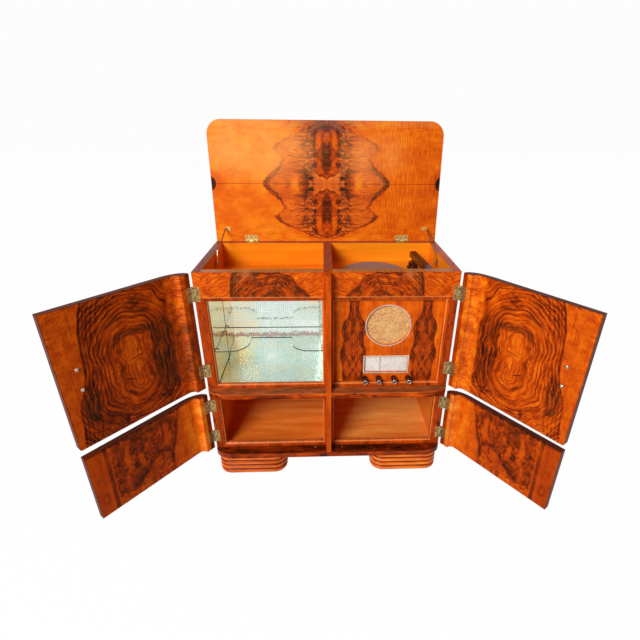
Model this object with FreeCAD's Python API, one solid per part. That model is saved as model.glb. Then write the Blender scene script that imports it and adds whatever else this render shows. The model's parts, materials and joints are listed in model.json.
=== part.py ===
import FreeCAD, Part
import math
import os

# Radio cocktail cabinet, stored open. Millimetres, +X right, +Y to the back, +Z up, floor at Z 0.
# The origin lies on the floor in the middle plane, behind the front face by the origin setback.
V = FreeCAD.Vector

# Carcass
origin_setback = 55.0
panel_thickness = 34.0
divider_thickness = 38.0
bottom_board_thickness = 27.0
mid_board_thickness = 28.0
lower_bay_height = 320.0
back_panel_thickness = 5.0
back_rail_thickness = 34.0
back_rail_height = 140.0

# Noses of the boards and the post that stand out between the doors
nose_depth = 52.0
post_nose_width = 23.0
bow_length = 100.0

# Feet
foot_height = 105.0
foot_outer_inset = 7.0
foot_length = 333.0
foot_front_overhang = 46.0
foot_depth = 484.0
foot_corner_radius = 62.0
reed_count = 4
reed_round_share = 0.45

# Aprons and the mitred frames of the four bays
apron_height = 113.0
apron_thickness = 36.0
frame_thickness = 20.0
frame_side_width = 14.0
upper_frame_top_width = 18.0
upper_frame_bottom_width = 18.0
lower_frame_top_width = 22.0
lower_frame_bottom_width = 21.0
frame_bevel_width = 9.0
frame_bevel_depth = 8.0

# Wells under the lid
well_floor_thickness = 14.0
motor_board_thickness = 18.0

# Mirrored drinks niche
niche_depth = 250.0
mirror_thickness = 4.0
niche_back_board_thickness = 12.0
niche_floor_board_thickness = 12.0
shelf_thickness = 6.0
shelf_height_share = 0.4136
shelf_front_inset = 12.0
shelf_edge_gap = 0.3
shelf_wing_width = 76.0
shelf_wing_root_width = 144.0
shelf_waist_y = 142.0
shelf_wing_radius = 22.0
shelf_waist_radius = 34.0
pin_radius = 3.0
pin_length = 12.0
pin_inset = 30.0

# Doors, in section across the hinge
door_stand_off = 54.0
door_thickness = 26.0
door_corner_round = 9.0
door_gap = 3.5
door_face_gap = 1.0
door_hinge_strip = 43.0
upper_left_open_angle = 129.6
lower_left_open_angle = 128.7
upper_right_open_angle = 125.8
lower_right_open_angle = 126.4

# Butt hinges of the doors and the lid
knuckle_radius = 4.0
hinge_pin_radius = 2.0
hinge_pin_clearance = 0.05
knuckle_gap = 0.3
hinge_height = 65.0
leaf_width = 28.0
leaf_thickness = 2.0
leaf_proud = 0.4
pin_stand_off = 5.0
knuckle_count = 3
upper_hinge_drop = 96.0
upper_hinge_rise = 94.0
lower_hinge_inset = 72.0
lid_hinge_centre = 378.0

# Door pulls, fixed through the upper doors with dome nuts
pull_edge_inset = 66.0
pull_rise = 5.0
pull_bolt_spacing = 83.0
pull_bar_length = 130.0
pull_bar_width = 14.0
pull_bar_thickness = 9.0
pull_reach = 30.0
pull_post_radius = 5.5
pull_seat_gap = 0.3
bolt_radius = 2.5
bolt_hole_clearance = 0.3
dome_nut_radius = 7.5
dome_nut_height = 7.0

# Catches for the lower doors
catch_spacing = 131.0
catch_inset = 15.0
catch_radius = 6.0
catch_plate_thickness = 1.0
catch_ball_radius = 3.2
catch_ball_rise = 1.8

# Lid
lid_thickness = 22.0
lid_front_overhang = 80.0
lid_back_overhang = 8.0
lid_notch_clearance = 0.5
lid_corner_radius = 66.0
lid_edge_round = 3.0
lid_gap = 1.0
lid_open_angle = 94.2

# Folding stays of the lid
stay_lid_reach = 60.0
stay_lid_drop = 12.0
stay_case_back_gap = 208.0
stay_case_drop = 50.0
stay_lower_length = 60.0
stay_upper_length = 193.0
stay_bar_width = 10.0
stay_bar_thickness = 2.0
stay_wall_gap = 10.0
stay_plane_gap = 2.0
stay_pin_radius = 3.0
stay_pin_overrun = 1.2
elbow_gap = 0.3
bracket_thickness = 3.0
bracket_length = 34.0
bracket_width = 18.0

# Radio panel, speaker and dial
radio_panel_thickness = 9.0
speaker_top_margin = 28.0
speaker_dial_gap = 59.5
speaker_radius = 97.0
speaker_ring_width = 4.0
speaker_ring_proud = 2.5
cloth_thickness = 1.5
cloth_margin = 8.0
basket_flange_thickness = 4.0
basket_depth = 88.0
magnet_radius = 45.0
magnet_depth = 34.0
cone_wall = 5.0
dust_cap_radius = 24.0
dial_width = 200.0
dial_height = 84.0
dial_knob_gap = 17.0
dial_glass_thickness = 2.0
dial_glass_gap = 0.3
dial_scale_thickness = 2.0
dial_scale_margin = 8.0
pointer_width = 1.6
pointer_thickness = 1.5
pointer_end_gap = 4.0
pointer_scale_gap = 0.5
pointer_share = 0.366

# Control knobs, set out from the middle of the radio bay by shares of the dial width
volume_knob_share = -0.479
tone_knob_share = -0.159
tuning_knob_share = 0.196
band_knob_share = 0.531
knob_bottom_margin = 1.5
knob_skirt_radius = 13.5
knob_radius = 12.0
knob_front_radius = 11.5
knob_length = 40.0
knob_skirt_thickness = 4.0
knob_panel_gap = 0.3
knob_dome_round = 2.5
spindle_radius = 3.0
spindle_clearance = 0.05

# Radio chassis and what stands on it
chassis_width = 400.0
chassis_front_y = 50.0
chassis_depth = 240.0
chassis_height = 60.0
chassis_wall = 2.0
valve_count = 5
valve_pitch = 64.0
valve_radius = 17.0
valve_height = 92.0
valve_base_height = 24.0
valve_base_radius = 15.0
valve_row_y = 225.0
valve_first_inset = 35.0
transformer_width = 84.0
transformer_depth = 70.0
transformer_height = 78.0
transformer_inset = 55.0
transformer_y = 130.0
capacitor_width = 80.0
capacitor_depth = 52.0
capacitor_height = 46.0
capacitor_offset = -25.0
capacitor_y = 110.0

# Record player
platter_side_gap = 41.0
platter_front_gap = 17.0
platter_back_gap = 77.0
arm_side_room = 152.0
platter_radius = 152.0
platter_height = 14.0
platter_lift = 6.0
platter_wall = 4.0
platter_hub_radius = 16.0
mat_thickness = 3.0
mat_inset = 2.0
record_pin_radius = 3.6
record_pin_height = 14.0
record_pin_clearance = 0.3
motor_shaft_radius = 5.0
shaft_clearance = 0.05
motor_radius = 52.0
motor_height = 56.0
motor_flange_width = 124.0
motor_flange_thickness = 4.0
shaft_depth_in_motor = 24.0

# Pick-up arm
arm_pivot_wall_gap = 99.0
arm_pivot_rail_gap = 106.0
arm_tip_wall_gap = 75.0
arm_tip_y = 94.0
arm_width = 30.0
arm_wall = 4.0
arm_top_rise = 80.0
arm_bottom_rise = 52.0
arm_tail = 20.0
arm_head_length = 40.0
arm_head_rise = 31.0
arm_overhang = 8.0
arm_round = 5.0
arm_base_radius = 30.0
arm_base_height = 6.0
turret_radius = 23.0
turret_height = 24.0
turret_post_radius = 8.0
turret_gap = 0.3
arm_pin_rise = 60.0
arm_pin_radius = 2.0
arm_pin_clearance = 0.05
needle_radius = 1.0
needle_length = 5.0
rest_head_gap = 45.0
rest_post_radius = 4.0
rest_bar_depth = 8.0
rest_bar_thickness = 4.0
rest_ear_height = 8.0
rest_gap = 0.3

# Vents of the back panel
vent_rows = 6
vent_columns = 4
vent_length = 70.0
vent_width = 6.0
vent_pitch_x = 96.0
vent_pitch_z = 26.0
vent_first_drop = 210.0

cut_overrun = 1.0

# Places worked out from the sizes above
post_x = post_nose_width / 2
divider_x = divider_thickness / 2
platter_x = divider_x + platter_side_gap + platter_radius
wall_x = platter_x + platter_radius + arm_side_room
half_width = wall_x + panel_thickness
platter_y = apron_thickness + platter_front_gap + platter_radius
carcass_depth = platter_y + platter_radius + platter_back_gap + back_rail_thickness
front_y = -origin_setback
back_y = front_y + carcass_depth
bottom_top = foot_height + bottom_board_thickness
mid_bottom = bottom_top + lower_bay_height
mid_top = mid_bottom + mid_board_thickness
upper_opening_bottom = mid_top + upper_frame_bottom_width
knob_z = upper_opening_bottom + knob_bottom_margin + knob_skirt_radius
dial_z = knob_z + knob_skirt_radius + dial_knob_gap + dial_height / 2
speaker_z = dial_z + dial_height / 2 + speaker_dial_gap + speaker_radius
upper_opening_top = speaker_z + speaker_radius + speaker_top_margin
apron_bottom = upper_opening_top + upper_frame_top_width
carcass_height = apron_bottom + apron_height
frame_back_y = front_y + frame_thickness
inner_back_y = back_y - back_panel_thickness
rail_front_y = back_y - back_rail_thickness
hinge_x = half_width + pin_stand_off
hinge_y = front_y - door_face_gap / 2
lid_pin_y = back_y + pin_stand_off
lid_pin_z = carcass_height + lid_gap / 2
lid_depth = carcass_depth + lid_front_overhang
opening_out_x = wall_x - frame_side_width
opening_in_x = post_x + frame_side_width
lower_opening_bottom = bottom_top + lower_frame_bottom_width
lower_opening_top = mid_bottom - lower_frame_top_width
motor_board_top = apron_bottom + motor_board_thickness
niche_back_y = front_y + niche_depth
door_hinge_y = front_y - door_face_gap
door_outer_y = front_y - door_stand_off
door_inner_y = door_outer_y + door_thickness
door_free_x = post_x + door_gap
radio_back_y = frame_back_y + radio_panel_thickness
upper_opening_height = upper_opening_top - upper_opening_bottom
bay_centre_x = (opening_in_x + opening_out_x) / 2
shelf_top = upper_opening_bottom + upper_opening_height * shelf_height_share
knob_places = {
    "volume_knob": bay_centre_x + dial_width * volume_knob_share,
    "tone_knob": bay_centre_x + dial_width * tone_knob_share,
    "tuning_knob": bay_centre_x + dial_width * tuning_knob_share,
    "band_knob": bay_centre_x + dial_width * band_knob_share,
}
arm_pivot_x = wall_x - arm_pivot_wall_gap
arm_pivot_y = carcass_depth - back_rail_thickness - arm_pivot_rail_gap
arm_tip_x = wall_x - arm_tip_wall_gap
chassis_left_x = bay_centre_x - chassis_width / 2

parts = {}


def block(x0, x1, y0, y1, z0, z1):
    """A box between two opposite corners."""
    return Part.makeBox(x1 - x0, y1 - y0, z1 - z0, V(x0, y0, z0))


def rod(point, direction, radius, length):
    """A round bar that starts at a point."""
    return Part.makeCylinder(radius, length, point, direction)


def mirrored(shape):
    """The same piece on the other side of the middle plane."""
    return shape.mirror(V(0, 0, 0), V(1, 0, 0))


def turned(shape, point, axis, degrees):
    """A copy turned about an axis through a point."""
    copy = shape.copy()
    copy.rotate(point, axis, degrees)
    return copy


def flat_face(points, z=0):
    """A face at one height from its plan corners."""
    corners = [V(x, y, z) for x, y in points]
    return Part.Face(Part.makePolygon(corners + corners[:1]))


def vertical_edges(shape):
    """The edges that run straight up."""
    found = []
    for edge in shape.Edges:
        first, last = edge.Vertexes[0].Point, edge.Vertexes[-1].Point
        run = last - first
        if run.Length > 0 and abs(run.z) > run.Length * 0.999:
            found.append(edge)
    return found


def bow_arc(centre_x, centre_y, depth, z):
    """A quarter of an ellipse, from the front line round to the outer side."""
    quarter = Part.makeCircle(1, V(0, 0, 0), V(0, 0, 1), 270, 360)
    stretch = FreeCAD.Matrix()
    stretch.scale(bow_length, depth, 1)
    arc = quarter.transformGeometry(stretch)
    arc.translate(V(centre_x, centre_y, z))
    return arc.Edges[0]


def bowed_nose(x_in, x_out, y_back, depth, z0, z1):
    """A slab with its outer front end drawn back in a bow, for the right side."""
    arc = bow_arc(x_out - bow_length, y_back, depth, z0)
    corners = [
        V(x_out, y_back, z0),
        V(x_in, y_back, z0),
        V(x_in, y_back - depth, z0),
        V(x_out - bow_length, y_back - depth, z0),
    ]
    wire = Part.Wire(Part.makePolygon(corners).Edges + [arc])
    return Part.Face(wire).extrude(V(0, 0, z1 - z0))


def make_carcass():
    """Sides, dividers, boards, post and back."""
    side = block(wall_x, half_width, front_y, back_y, bottom_top, carcass_height)
    for z in upper_hinge_heights() + lower_hinge_heights():
        side = side.cut(case_leaf_recess(z))
    parts["side_panel_right"] = [side]
    parts["side_panel_left"] = [mirrored(side)]

    nose = block(-post_x, post_x, front_y - nose_depth, frame_back_y, bottom_top, carcass_height)
    shoulder = block(-divider_x, divider_x, front_y, frame_back_y, apron_bottom, carcass_height)
    parts["centre_post"] = [nose.fuse(shoulder).removeSplitter()]
    parts["lower_divider"] = [
        block(-divider_x, divider_x, frame_back_y, inner_back_y, bottom_top, mid_bottom)
    ]
    upper = block(-divider_x, divider_x, frame_back_y, inner_back_y, mid_top, carcass_height)
    rail_slot = block(
        -divider_x, divider_x, rail_front_y, back_y, carcass_height - back_rail_height, carcass_height
    )
    parts["upper_divider"] = [upper.cut(rail_slot)]

    shelf = block(-wall_x, wall_x, front_y, inner_back_y, mid_bottom, mid_top)
    parts["mid_board"] = [shelf.cut(nose)]
    rail = bowed_nose(post_x, half_width, front_y, nose_depth, mid_bottom, mid_top)
    parts["mid_rails"] = [rail, mirrored(rail)]

    half = bowed_nose(0, half_width, front_y, nose_depth, foot_height, bottom_top)
    slab = block(-half_width, half_width, front_y, back_y, foot_height, bottom_top)
    parts["bottom_board"] = [slab.fuse([half, mirrored(half)]).removeSplitter()]

    rail_bottom = carcass_height - back_rail_height
    back_rail = block(-wall_x, wall_x, rail_front_y, back_y, rail_bottom, carcass_height)
    for recess in lid_case_recesses():
        back_rail = back_rail.cut(recess)
    parts["top_back_rail"] = [back_rail]


def make_back_panel():
    """Thin back with rows of vent slots behind the radio."""
    panel = block(-wall_x, wall_x, inner_back_y, back_y, bottom_top, carcass_height - back_rail_height)
    slots = []
    first_x = bay_centre_x - vent_pitch_x * (vent_columns - 1) / 2
    for row in range(vent_rows):
        z = carcass_height - vent_first_drop - row * vent_pitch_z
        for column in range(vent_columns):
            x = first_x + column * vent_pitch_x
            slots.append(
                block(
                    x - vent_length / 2, x + vent_length / 2,
                    inner_back_y - cut_overrun, back_y + cut_overrun,
                    z - vent_width / 2, z + vent_width / 2,
                )
            )
    parts["back_panel"] = [panel.cut(slots)]


def make_feet():
    """Two long feet, each a stack of rounded reeds."""
    reed_height = foot_height / reed_count
    x_out = half_width - foot_outer_inset
    y_front = front_y - foot_front_overhang
    plan = block(x_out - foot_length, x_out, y_front, y_front + foot_depth, 0, reed_height)
    front_corners = [e for e in vertical_edges(plan) if e.BoundBox.YMax < y_front + foot_corner_radius]
    plan = plan.makeFillet(foot_corner_radius, front_corners)
    rims = [e for e in plan.Edges if e not in vertical_edges(plan) and e.BoundBox.ZLength < cut_overrun]
    reed = plan.makeFillet(reed_height * reed_round_share, rims)
    foot = reed
    for level in range(1, reed_count):
        copy = reed.copy()
        copy.translate(V(0, 0, level * reed_height))
        foot = foot.fuse(copy)
    parts["foot_right"] = [foot]
    parts["foot_left"] = [mirrored(foot)]


def bay_frame(z0, z1, open_z0, open_z1):
    """A mitred frame round one bay, with its inner edge bevelled, for the right side."""
    frame = block(post_x, wall_x, front_y, frame_back_y, z0, z1)
    frame = frame.cut(
        block(
            opening_in_x, opening_out_x,
            front_y - cut_overrun, frame_back_y + cut_overrun,
            open_z0, open_z1,
        )
    )
    rims = []
    for depth, grow in ((0, frame_bevel_width), (frame_bevel_depth, 0)):
        x0, x1 = opening_in_x - grow, opening_out_x + grow
        low, high = open_z0 - grow, open_z1 + grow
        y = front_y + depth
        corners = [V(x0, y, low), V(x1, y, low), V(x1, y, high), V(x0, y, high), V(x0, y, low)]
        rims.append(Part.makePolygon(corners))
    return frame.cut(Part.makeLoft(rims, True, True))


def make_bay_frames():
    """Frames of the two upper and the two lower bays."""
    upper = bay_frame(mid_top, apron_bottom, upper_opening_bottom, upper_opening_top)
    lower = bay_frame(bottom_top, mid_bottom, lower_opening_bottom, lower_opening_top)
    parts["radio_frame"] = [upper]
    parts["niche_frame"] = [mirrored(upper)]
    parts["lower_right_frame"] = [lower]
    parts["lower_left_frame"] = [mirrored(lower)]


def make_aprons_and_wells():
    """Front aprons and the floors of the two wells under the lid."""
    apron = block(divider_x, wall_x, front_y, front_y + apron_thickness, apron_bottom, carcass_height)
    parts["apron_right"] = [apron]
    parts["apron_left"] = [mirrored(apron)]
    floor_bottom = apron_bottom - well_floor_thickness
    parts["left_well_floor"] = [
        block(-wall_x, -divider_x, frame_back_y, rail_front_y, floor_bottom, apron_bottom)
    ]
    board = block(
        divider_x, wall_x, front_y + apron_thickness, rail_front_y, apron_bottom, motor_board_top
    )
    hole = rod(
        V(platter_x, front_y + platter_y, apron_bottom - cut_overrun),
        V(0, 0, 1),
        motor_shaft_radius + shaft_clearance,
        motor_board_thickness + 2 * cut_overrun,
    )
    parts["motor_board"] = [board.cut(hole)]


def make_niche():
    """Boards and mirrors that line the drinks niche."""
    top = apron_bottom - well_floor_thickness
    board_x = -wall_x + frame_side_width - mirror_thickness
    floor_top = mid_top + niche_floor_board_thickness
    mirror_top = floor_top + mirror_thickness
    back_board_y = niche_back_y + mirror_thickness
    parts["niche_lining"] = [
        block(-wall_x, -divider_x, frame_back_y, back_board_y, mid_top, floor_top),
        block(
            -wall_x, -divider_x, back_board_y, back_board_y + niche_back_board_thickness, mid_top, top
        ),
        block(-wall_x, board_x, frame_back_y, back_board_y, floor_top, top),
    ]
    parts["niche_mirrors"] = [
        block(board_x, -divider_x, frame_back_y, back_board_y, floor_top, mirror_top),
        block(board_x, -divider_x, niche_back_y, back_board_y, mirror_top, top),
        block(board_x, board_x + mirror_thickness, frame_back_y, niche_back_y, mirror_top, top),
        block(-divider_x - mirror_thickness, -divider_x, frame_back_y, niche_back_y, mirror_top, top),
    ]


def make_glass_shelf():
    """A glass shelf cut back in the middle, on short pins."""
    x0 = -opening_out_x + shelf_edge_gap
    x1 = -opening_in_x - shelf_edge_gap
    y0 = front_y + shelf_front_inset
    y1 = niche_back_y - shelf_edge_gap
    waist_y = front_y + shelf_waist_y
    top = shelf_top
    outline = [
        (x0, y1), (x0, y0), (x0 + shelf_wing_width, y0), (x0 + shelf_wing_root_width, waist_y),
        (x1 - shelf_wing_root_width, waist_y), (x1 - shelf_wing_width, y0), (x1, y0), (x1, y1),
    ]
    glass = flat_face(outline, top - shelf_thickness).extrude(V(0, 0, shelf_thickness))
    edges = vertical_edges(glass)
    tips = [e for e in edges if e.BoundBox.YMax < waist_y and x0 < e.BoundBox.XMin - shelf_edge_gap]
    tips = [e for e in tips if e.BoundBox.XMax < x1 - shelf_edge_gap]
    glass = glass.makeFillet(shelf_wing_radius, tips)
    roots = [
        e for e in vertical_edges(glass)
        if abs(e.BoundBox.YMin - waist_y) < shelf_edge_gap and abs(e.BoundBox.YMax - waist_y) < shelf_edge_gap
    ]
    parts["glass_shelf"] = [glass.makeFillet(shelf_waist_radius, roots)]

    pin_z = top - shelf_thickness - pin_radius
    left_x = -opening_out_x
    right_x = -divider_x - mirror_thickness
    pins = []
    for y in (frame_back_y + pin_inset, niche_back_y - pin_inset):
        pins.append(rod(V(left_x, y, pin_z), V(1, 0, 0), pin_radius, pin_length))
        pins.append(rod(V(right_x, y, pin_z), V(-1, 0, 0), pin_radius, pin_length))
    parts["niche_lining"] += pins


def case_leaf_recess(z_centre):
    """The shallow bed of one hinge leaf in the front edge of the right side panel."""
    let_in = leaf_thickness - leaf_proud
    return block(
        hinge_x - leaf_width, half_width + cut_overrun,
        front_y - cut_overrun, front_y + let_in,
        z_centre - hinge_height / 2, z_centre + hinge_height / 2,
    )


def knuckles(z0, z1, own):
    """The knuckles of one leaf about a pin on the Z axis; own picks the odd or even ones."""
    length = (z1 - z0) / knuckle_count
    pieces = []
    for index in range(knuckle_count):
        if index % 2 != own:
            continue
        low = z0 + index * length + (knuckle_gap / 2 if index > 0 else 0)
        high = z0 + (index + 1) * length - (knuckle_gap / 2 if index < knuckle_count - 1 else 0)
        pieces.append((low, high))
    return pieces


def case_leaf(length):
    """A leaf on a pin along Z at the origin, plate towards -X, bedded in a face towards +Y."""
    y0 = -leaf_proud + door_face_gap / 2
    y1 = y0 + leaf_thickness
    plate_end = -pin_stand_off
    leaf = block(-leaf_width, plate_end, y0, y1, 0, length)
    for low, high in knuckles(0, length, 0):
        leaf = leaf.fuse(block(plate_end, 0, y0, y1, low, high))
        leaf = leaf.fuse(rod(V(0, 0, low), V(0, 0, 1), knuckle_radius, high - low))
    pin = rod(V(0, 0, 0), V(0, 0, 1), hinge_pin_radius, length)
    return leaf.fuse(pin).removeSplitter()


def door_leaf(length):
    """The moving leaf of the same hinge, in the closed position."""
    y1 = leaf_proud - door_face_gap / 2
    y0 = y1 - leaf_thickness
    plate_end = -pin_stand_off
    leaf = block(-leaf_width, plate_end, y0, y1, 0, length)
    for low, high in knuckles(0, length, 1):
        leaf = leaf.fuse(block(plate_end, 0, y0, y1, low, high))
        leaf = leaf.fuse(rod(V(0, 0, low), V(0, 0, 1), knuckle_radius, high - low))
    bore = rod(
        V(0, 0, -cut_overrun), V(0, 0, 1),
        hinge_pin_radius + hinge_pin_clearance, length + 2 * cut_overrun,
    )
    return leaf.cut(bore).removeSplitter()


def placed_door_leaf(leaf, z_centre):
    """A leaf brought to the right door's pin, its middle at a height."""
    copy = leaf.copy()
    copy.translate(V(hinge_x, hinge_y, z_centre - hinge_height / 2))
    return copy


def upper_hinge_heights():
    """Middles of the two hinges of an upper door."""
    return [mid_top + upper_hinge_rise, carcass_height - upper_hinge_drop]


def lower_hinge_heights():
    """Middles of the two hinges of a lower door."""
    return [bottom_top + lower_hinge_inset, mid_bottom - lower_hinge_inset]


def laid_along_x(leaf, x_centre):
    """A leaf brought to the lid's pin line, its length along X."""
    copy = turned(leaf, V(0, 0, 0), V(0, 0, 1), 90)
    copy = turned(copy, V(0, 0, 0), V(0, 1, 0), -90)
    copy.translate(V(x_centre + hinge_height / 2, lid_pin_y, lid_pin_z))
    return copy


def lid_case_recesses():
    """Beds of the two fixed lid leaves in the top of the back rail."""
    beds = []
    let_in = leaf_thickness - leaf_proud
    for x in (-lid_hinge_centre, lid_hinge_centre):
        beds.append(
            block(
                x - hinge_height / 2, x + hinge_height / 2,
                lid_pin_y - leaf_width, back_y + cut_overrun,
                carcass_height - let_in, carcass_height + cut_overrun,
            )
        )
    return beds


def make_case_leaves():
    """All the fixed leaves, with their pins."""
    leaf = case_leaf(hinge_height)
    fixed = []
    for z in upper_hinge_heights() + lower_hinge_heights():
        right = placed_door_leaf(leaf, z)
        fixed += [right, mirrored(right)]
    for x in (-lid_hinge_centre, lid_hinge_centre):
        fixed.append(laid_along_x(leaf, x))
    parts["case_hinge_leaves"] = fixed


def make_doors():
    """Four doors, each bowed at its hinge side, with leaves, pulls and nuts."""
    rows = {
        "upper": (mid_top + door_gap, carcass_height - door_gap, upper_hinge_heights()),
        "lower": (bottom_top + door_gap, mid_bottom - door_gap, lower_hinge_heights()),
    }
    openings = {
        "upper_left": upper_left_open_angle,
        "upper_right": upper_right_open_angle,
        "lower_left": lower_left_open_angle,
        "lower_right": lower_right_open_angle,
    }
    leaf = door_leaf(hinge_height)
    for row, (z0, z1, hinge_heights) in rows.items():
        slab = door_slab(z0, z1)
        leaves = []
        for z in hinge_heights:
            slab = slab.cut(door_leaf_recess(z))
            leaves.append(placed_door_leaf(leaf, z))
        pull = []
        if row == "upper":
            centre = (z0 + z1) / 2 + pull_rise
            slab = rounded_low_corner(slab, z0).cut(pull_bolt_holes(centre))
            pull = make_pull(centre)
        for side in ("left", "right"):
            name = row + "_" + side
            groups = {
                name + "_door": [slab],
                name + "_door_leaves": leaves,
                name + "_pull": pull,
            }
            for node, shapes in groups.items():
                if shapes:
                    parts[node] = [swung(s, side, openings[name]) for s in shapes]


def swung(shape, side, opening):
    """A closed right-hand piece moved to its side and opened."""
    pivot = V(hinge_x, hinge_y, 0)
    opened = turned(shape, pivot, V(0, 0, 1), opening)
    return opened if side == "right" else mirrored(opened)


def door_slab(z0, z1):
    """One closed right-hand door, from its section."""
    rim_depth = door_hinge_y - door_outer_y
    cove_radius = door_hinge_y - door_inner_y
    strip_x = half_width - door_hinge_strip
    cove_x = strip_x - cove_radius
    arc = bow_arc(half_width - bow_length, door_hinge_y, rim_depth, z0)
    cove_mid = cove_radius * math.sqrt(0.5)
    cove = Part.Arc(
        V(strip_x, door_hinge_y, z0),
        V(cove_x + cove_mid, door_hinge_y - cove_mid, z0),
        V(cove_x, door_inner_y, z0),
    ).toShape()
    strip = Part.makeLine(V(half_width, door_hinge_y, z0), V(strip_x, door_hinge_y, z0))
    rest = Part.makePolygon(
        [
            V(cove_x, door_inner_y, z0),
            V(door_free_x, door_inner_y, z0),
            V(door_free_x, door_outer_y, z0),
            V(half_width - bow_length, door_outer_y, z0),
        ]
    )
    wire = Part.Wire([strip, cove] + rest.Edges + [arc])
    return Part.Face(wire).extrude(V(0, 0, z1 - z0))


def rounded_low_corner(slab, z0):
    """The door with the low corner of its free edge rounded."""
    corner = [
        e for e in slab.Edges
        if e.BoundBox.XMax < door_free_x + cut_overrun and e.BoundBox.ZMax < z0 + cut_overrun
    ]
    return slab.makeFillet(door_corner_round, corner)


def door_leaf_recess(z_centre):
    """The bed of a moving leaf in the end strip of the closed right door."""
    let_in = leaf_thickness - leaf_proud
    return block(
        hinge_x - leaf_width, half_width + cut_overrun,
        door_hinge_y - let_in, door_hinge_y + cut_overrun,
        z_centre - hinge_height / 2, z_centre + hinge_height / 2,
    )


def pull_places(z_centre):
    """The two bolt places of a pull on the closed right door."""
    x = door_free_x + pull_edge_inset
    return [(x, z_centre - pull_bolt_spacing / 2), (x, z_centre + pull_bolt_spacing / 2)]


def pull_bolt_holes(z_centre):
    """Holes through the door for the two bolts."""
    return [
        rod(
            V(x, door_outer_y - cut_overrun, z), V(0, 1, 0),
            bolt_radius + bolt_hole_clearance, door_thickness + 2 * cut_overrun,
        )
        for x, z in pull_places(z_centre)
    ]


def make_pull(z_centre):
    """A bar pull outside the door and two bolts with dome nuts inside."""
    x = door_free_x + pull_edge_inset
    seat_y = door_outer_y - pull_seat_gap
    bar_y = door_outer_y - pull_reach
    bar = block(
        x - pull_bar_width / 2, x + pull_bar_width / 2,
        bar_y, bar_y + pull_bar_thickness,
        z_centre - pull_bar_length / 2, z_centre + pull_bar_length / 2,
    )
    bar = bar.makeFillet(pull_bar_thickness / 4, bar.Edges)
    pull = bar
    for px, pz in pull_places(z_centre):
        post = rod(V(px, bar_y + pull_bar_thickness / 2, pz), V(0, 1, 0), pull_post_radius,
                   seat_y - bar_y - pull_bar_thickness / 2)
        bolt = rod(V(px, seat_y, pz), V(0, 1, 0), bolt_radius, door_inner_y - seat_y)
        pull = pull.fuse([post, bolt])
    pieces = [pull.removeSplitter()]
    for px, pz in pull_places(z_centre):
        pieces.append(dome_nut(px, pz))
    return pieces


def dome_nut(x, z):
    """A domed nut that stands on the inner face of the door."""
    dome_rise = dome_nut_height / 2
    ball_radius = (dome_nut_radius ** 2 + dome_rise ** 2) / (2 * dome_rise)
    body = rod(V(x, door_inner_y, z), V(0, 1, 0), dome_nut_radius, dome_nut_height)
    ball = Part.makeSphere(ball_radius, V(x, door_inner_y + dome_nut_height - ball_radius, z))
    return body.common(ball)


def make_catches():
    """Ball catches in the top of the bottom board for the lower doors."""
    catches = []
    for x in (-catch_spacing / 2, catch_spacing / 2):
        base = V(x, front_y - catch_inset, bottom_top)
        plate = rod(base, V(0, 0, 1), catch_radius, catch_plate_thickness)
        ball_centre = base + V(0, 0, catch_plate_thickness + catch_ball_rise - catch_ball_radius)
        ball = Part.makeSphere(catch_ball_radius, ball_centre)
        room = block(
            x - catch_radius, x + catch_radius,
            base.y - catch_radius, base.y + catch_radius,
            bottom_top, bottom_top + catch_ball_radius + catch_plate_thickness,
        )
        catches.append(plate.fuse(ball.common(room)).removeSplitter())
    parts["door_catches"] = catches


def opened_lid(shape):
    """A closed piece of the lid turned up to the open position."""
    return turned(shape, V(0, lid_pin_y, lid_pin_z), V(1, 0, 0), -lid_open_angle)


def make_lid():
    """The lid board, its two leaves and the stay brackets under it."""
    bottom = carcass_height + lid_gap
    slab = block(
        -half_width, half_width, back_y - lid_depth, back_y + lid_back_overhang,
        bottom, bottom + lid_thickness,
    )
    front = [e for e in vertical_edges(slab) if e.BoundBox.YMax < back_y - lid_depth / 2]
    slab = slab.makeFillet(lid_corner_radius, front)
    top_rim = [e for e in slab.Edges if e.BoundBox.ZMin > bottom + lid_thickness / 2]
    slab = slab.makeFillet(lid_edge_round, top_rim)
    let_in = leaf_thickness - leaf_proud
    for x in (-lid_hinge_centre, lid_hinge_centre):
        slab = slab.cut(
            block(
                x - hinge_height / 2, x + hinge_height / 2,
                lid_pin_y - leaf_width, back_y + cut_overrun,
                bottom - cut_overrun, bottom + let_in,
            )
        )
        slab = slab.cut(knuckle_notch(x, bottom))
    parts["lid"] = [opened_lid(slab)]
    fittings = [lid_leaf(x) for x in (-lid_hinge_centre, lid_hinge_centre)]
    bracket = lid_stay_bracket()
    fittings += [bracket, mirrored(bracket)]
    parts["lid_fittings"] = [opened_lid(s) for s in fittings]


def knuckle_notch(x_centre, bottom):
    """The notch in the lid's back edge round the knuckles of one hinge."""
    reach = hinge_height / 2 + lid_notch_clearance
    return block(
        x_centre - reach, x_centre + reach, back_y, back_y + lid_back_overhang + cut_overrun,
        bottom - cut_overrun, bottom + lid_thickness + cut_overrun,
    )


def lid_leaf(x_centre):
    """The moving leaf of a lid hinge, with the lid closed."""
    return laid_along_x(door_leaf(hinge_height), x_centre)


def stay_upper_x():
    """Inner and outer faces of the right upper stay bar."""
    outer = wall_x - stay_wall_gap - stay_bar_thickness - stay_plane_gap
    return outer - stay_bar_thickness, outer


def stay_lower_x():
    """Inner and outer faces of the right lower stay bar."""
    outer = wall_x - stay_wall_gap
    return outer - stay_bar_thickness, outer


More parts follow.
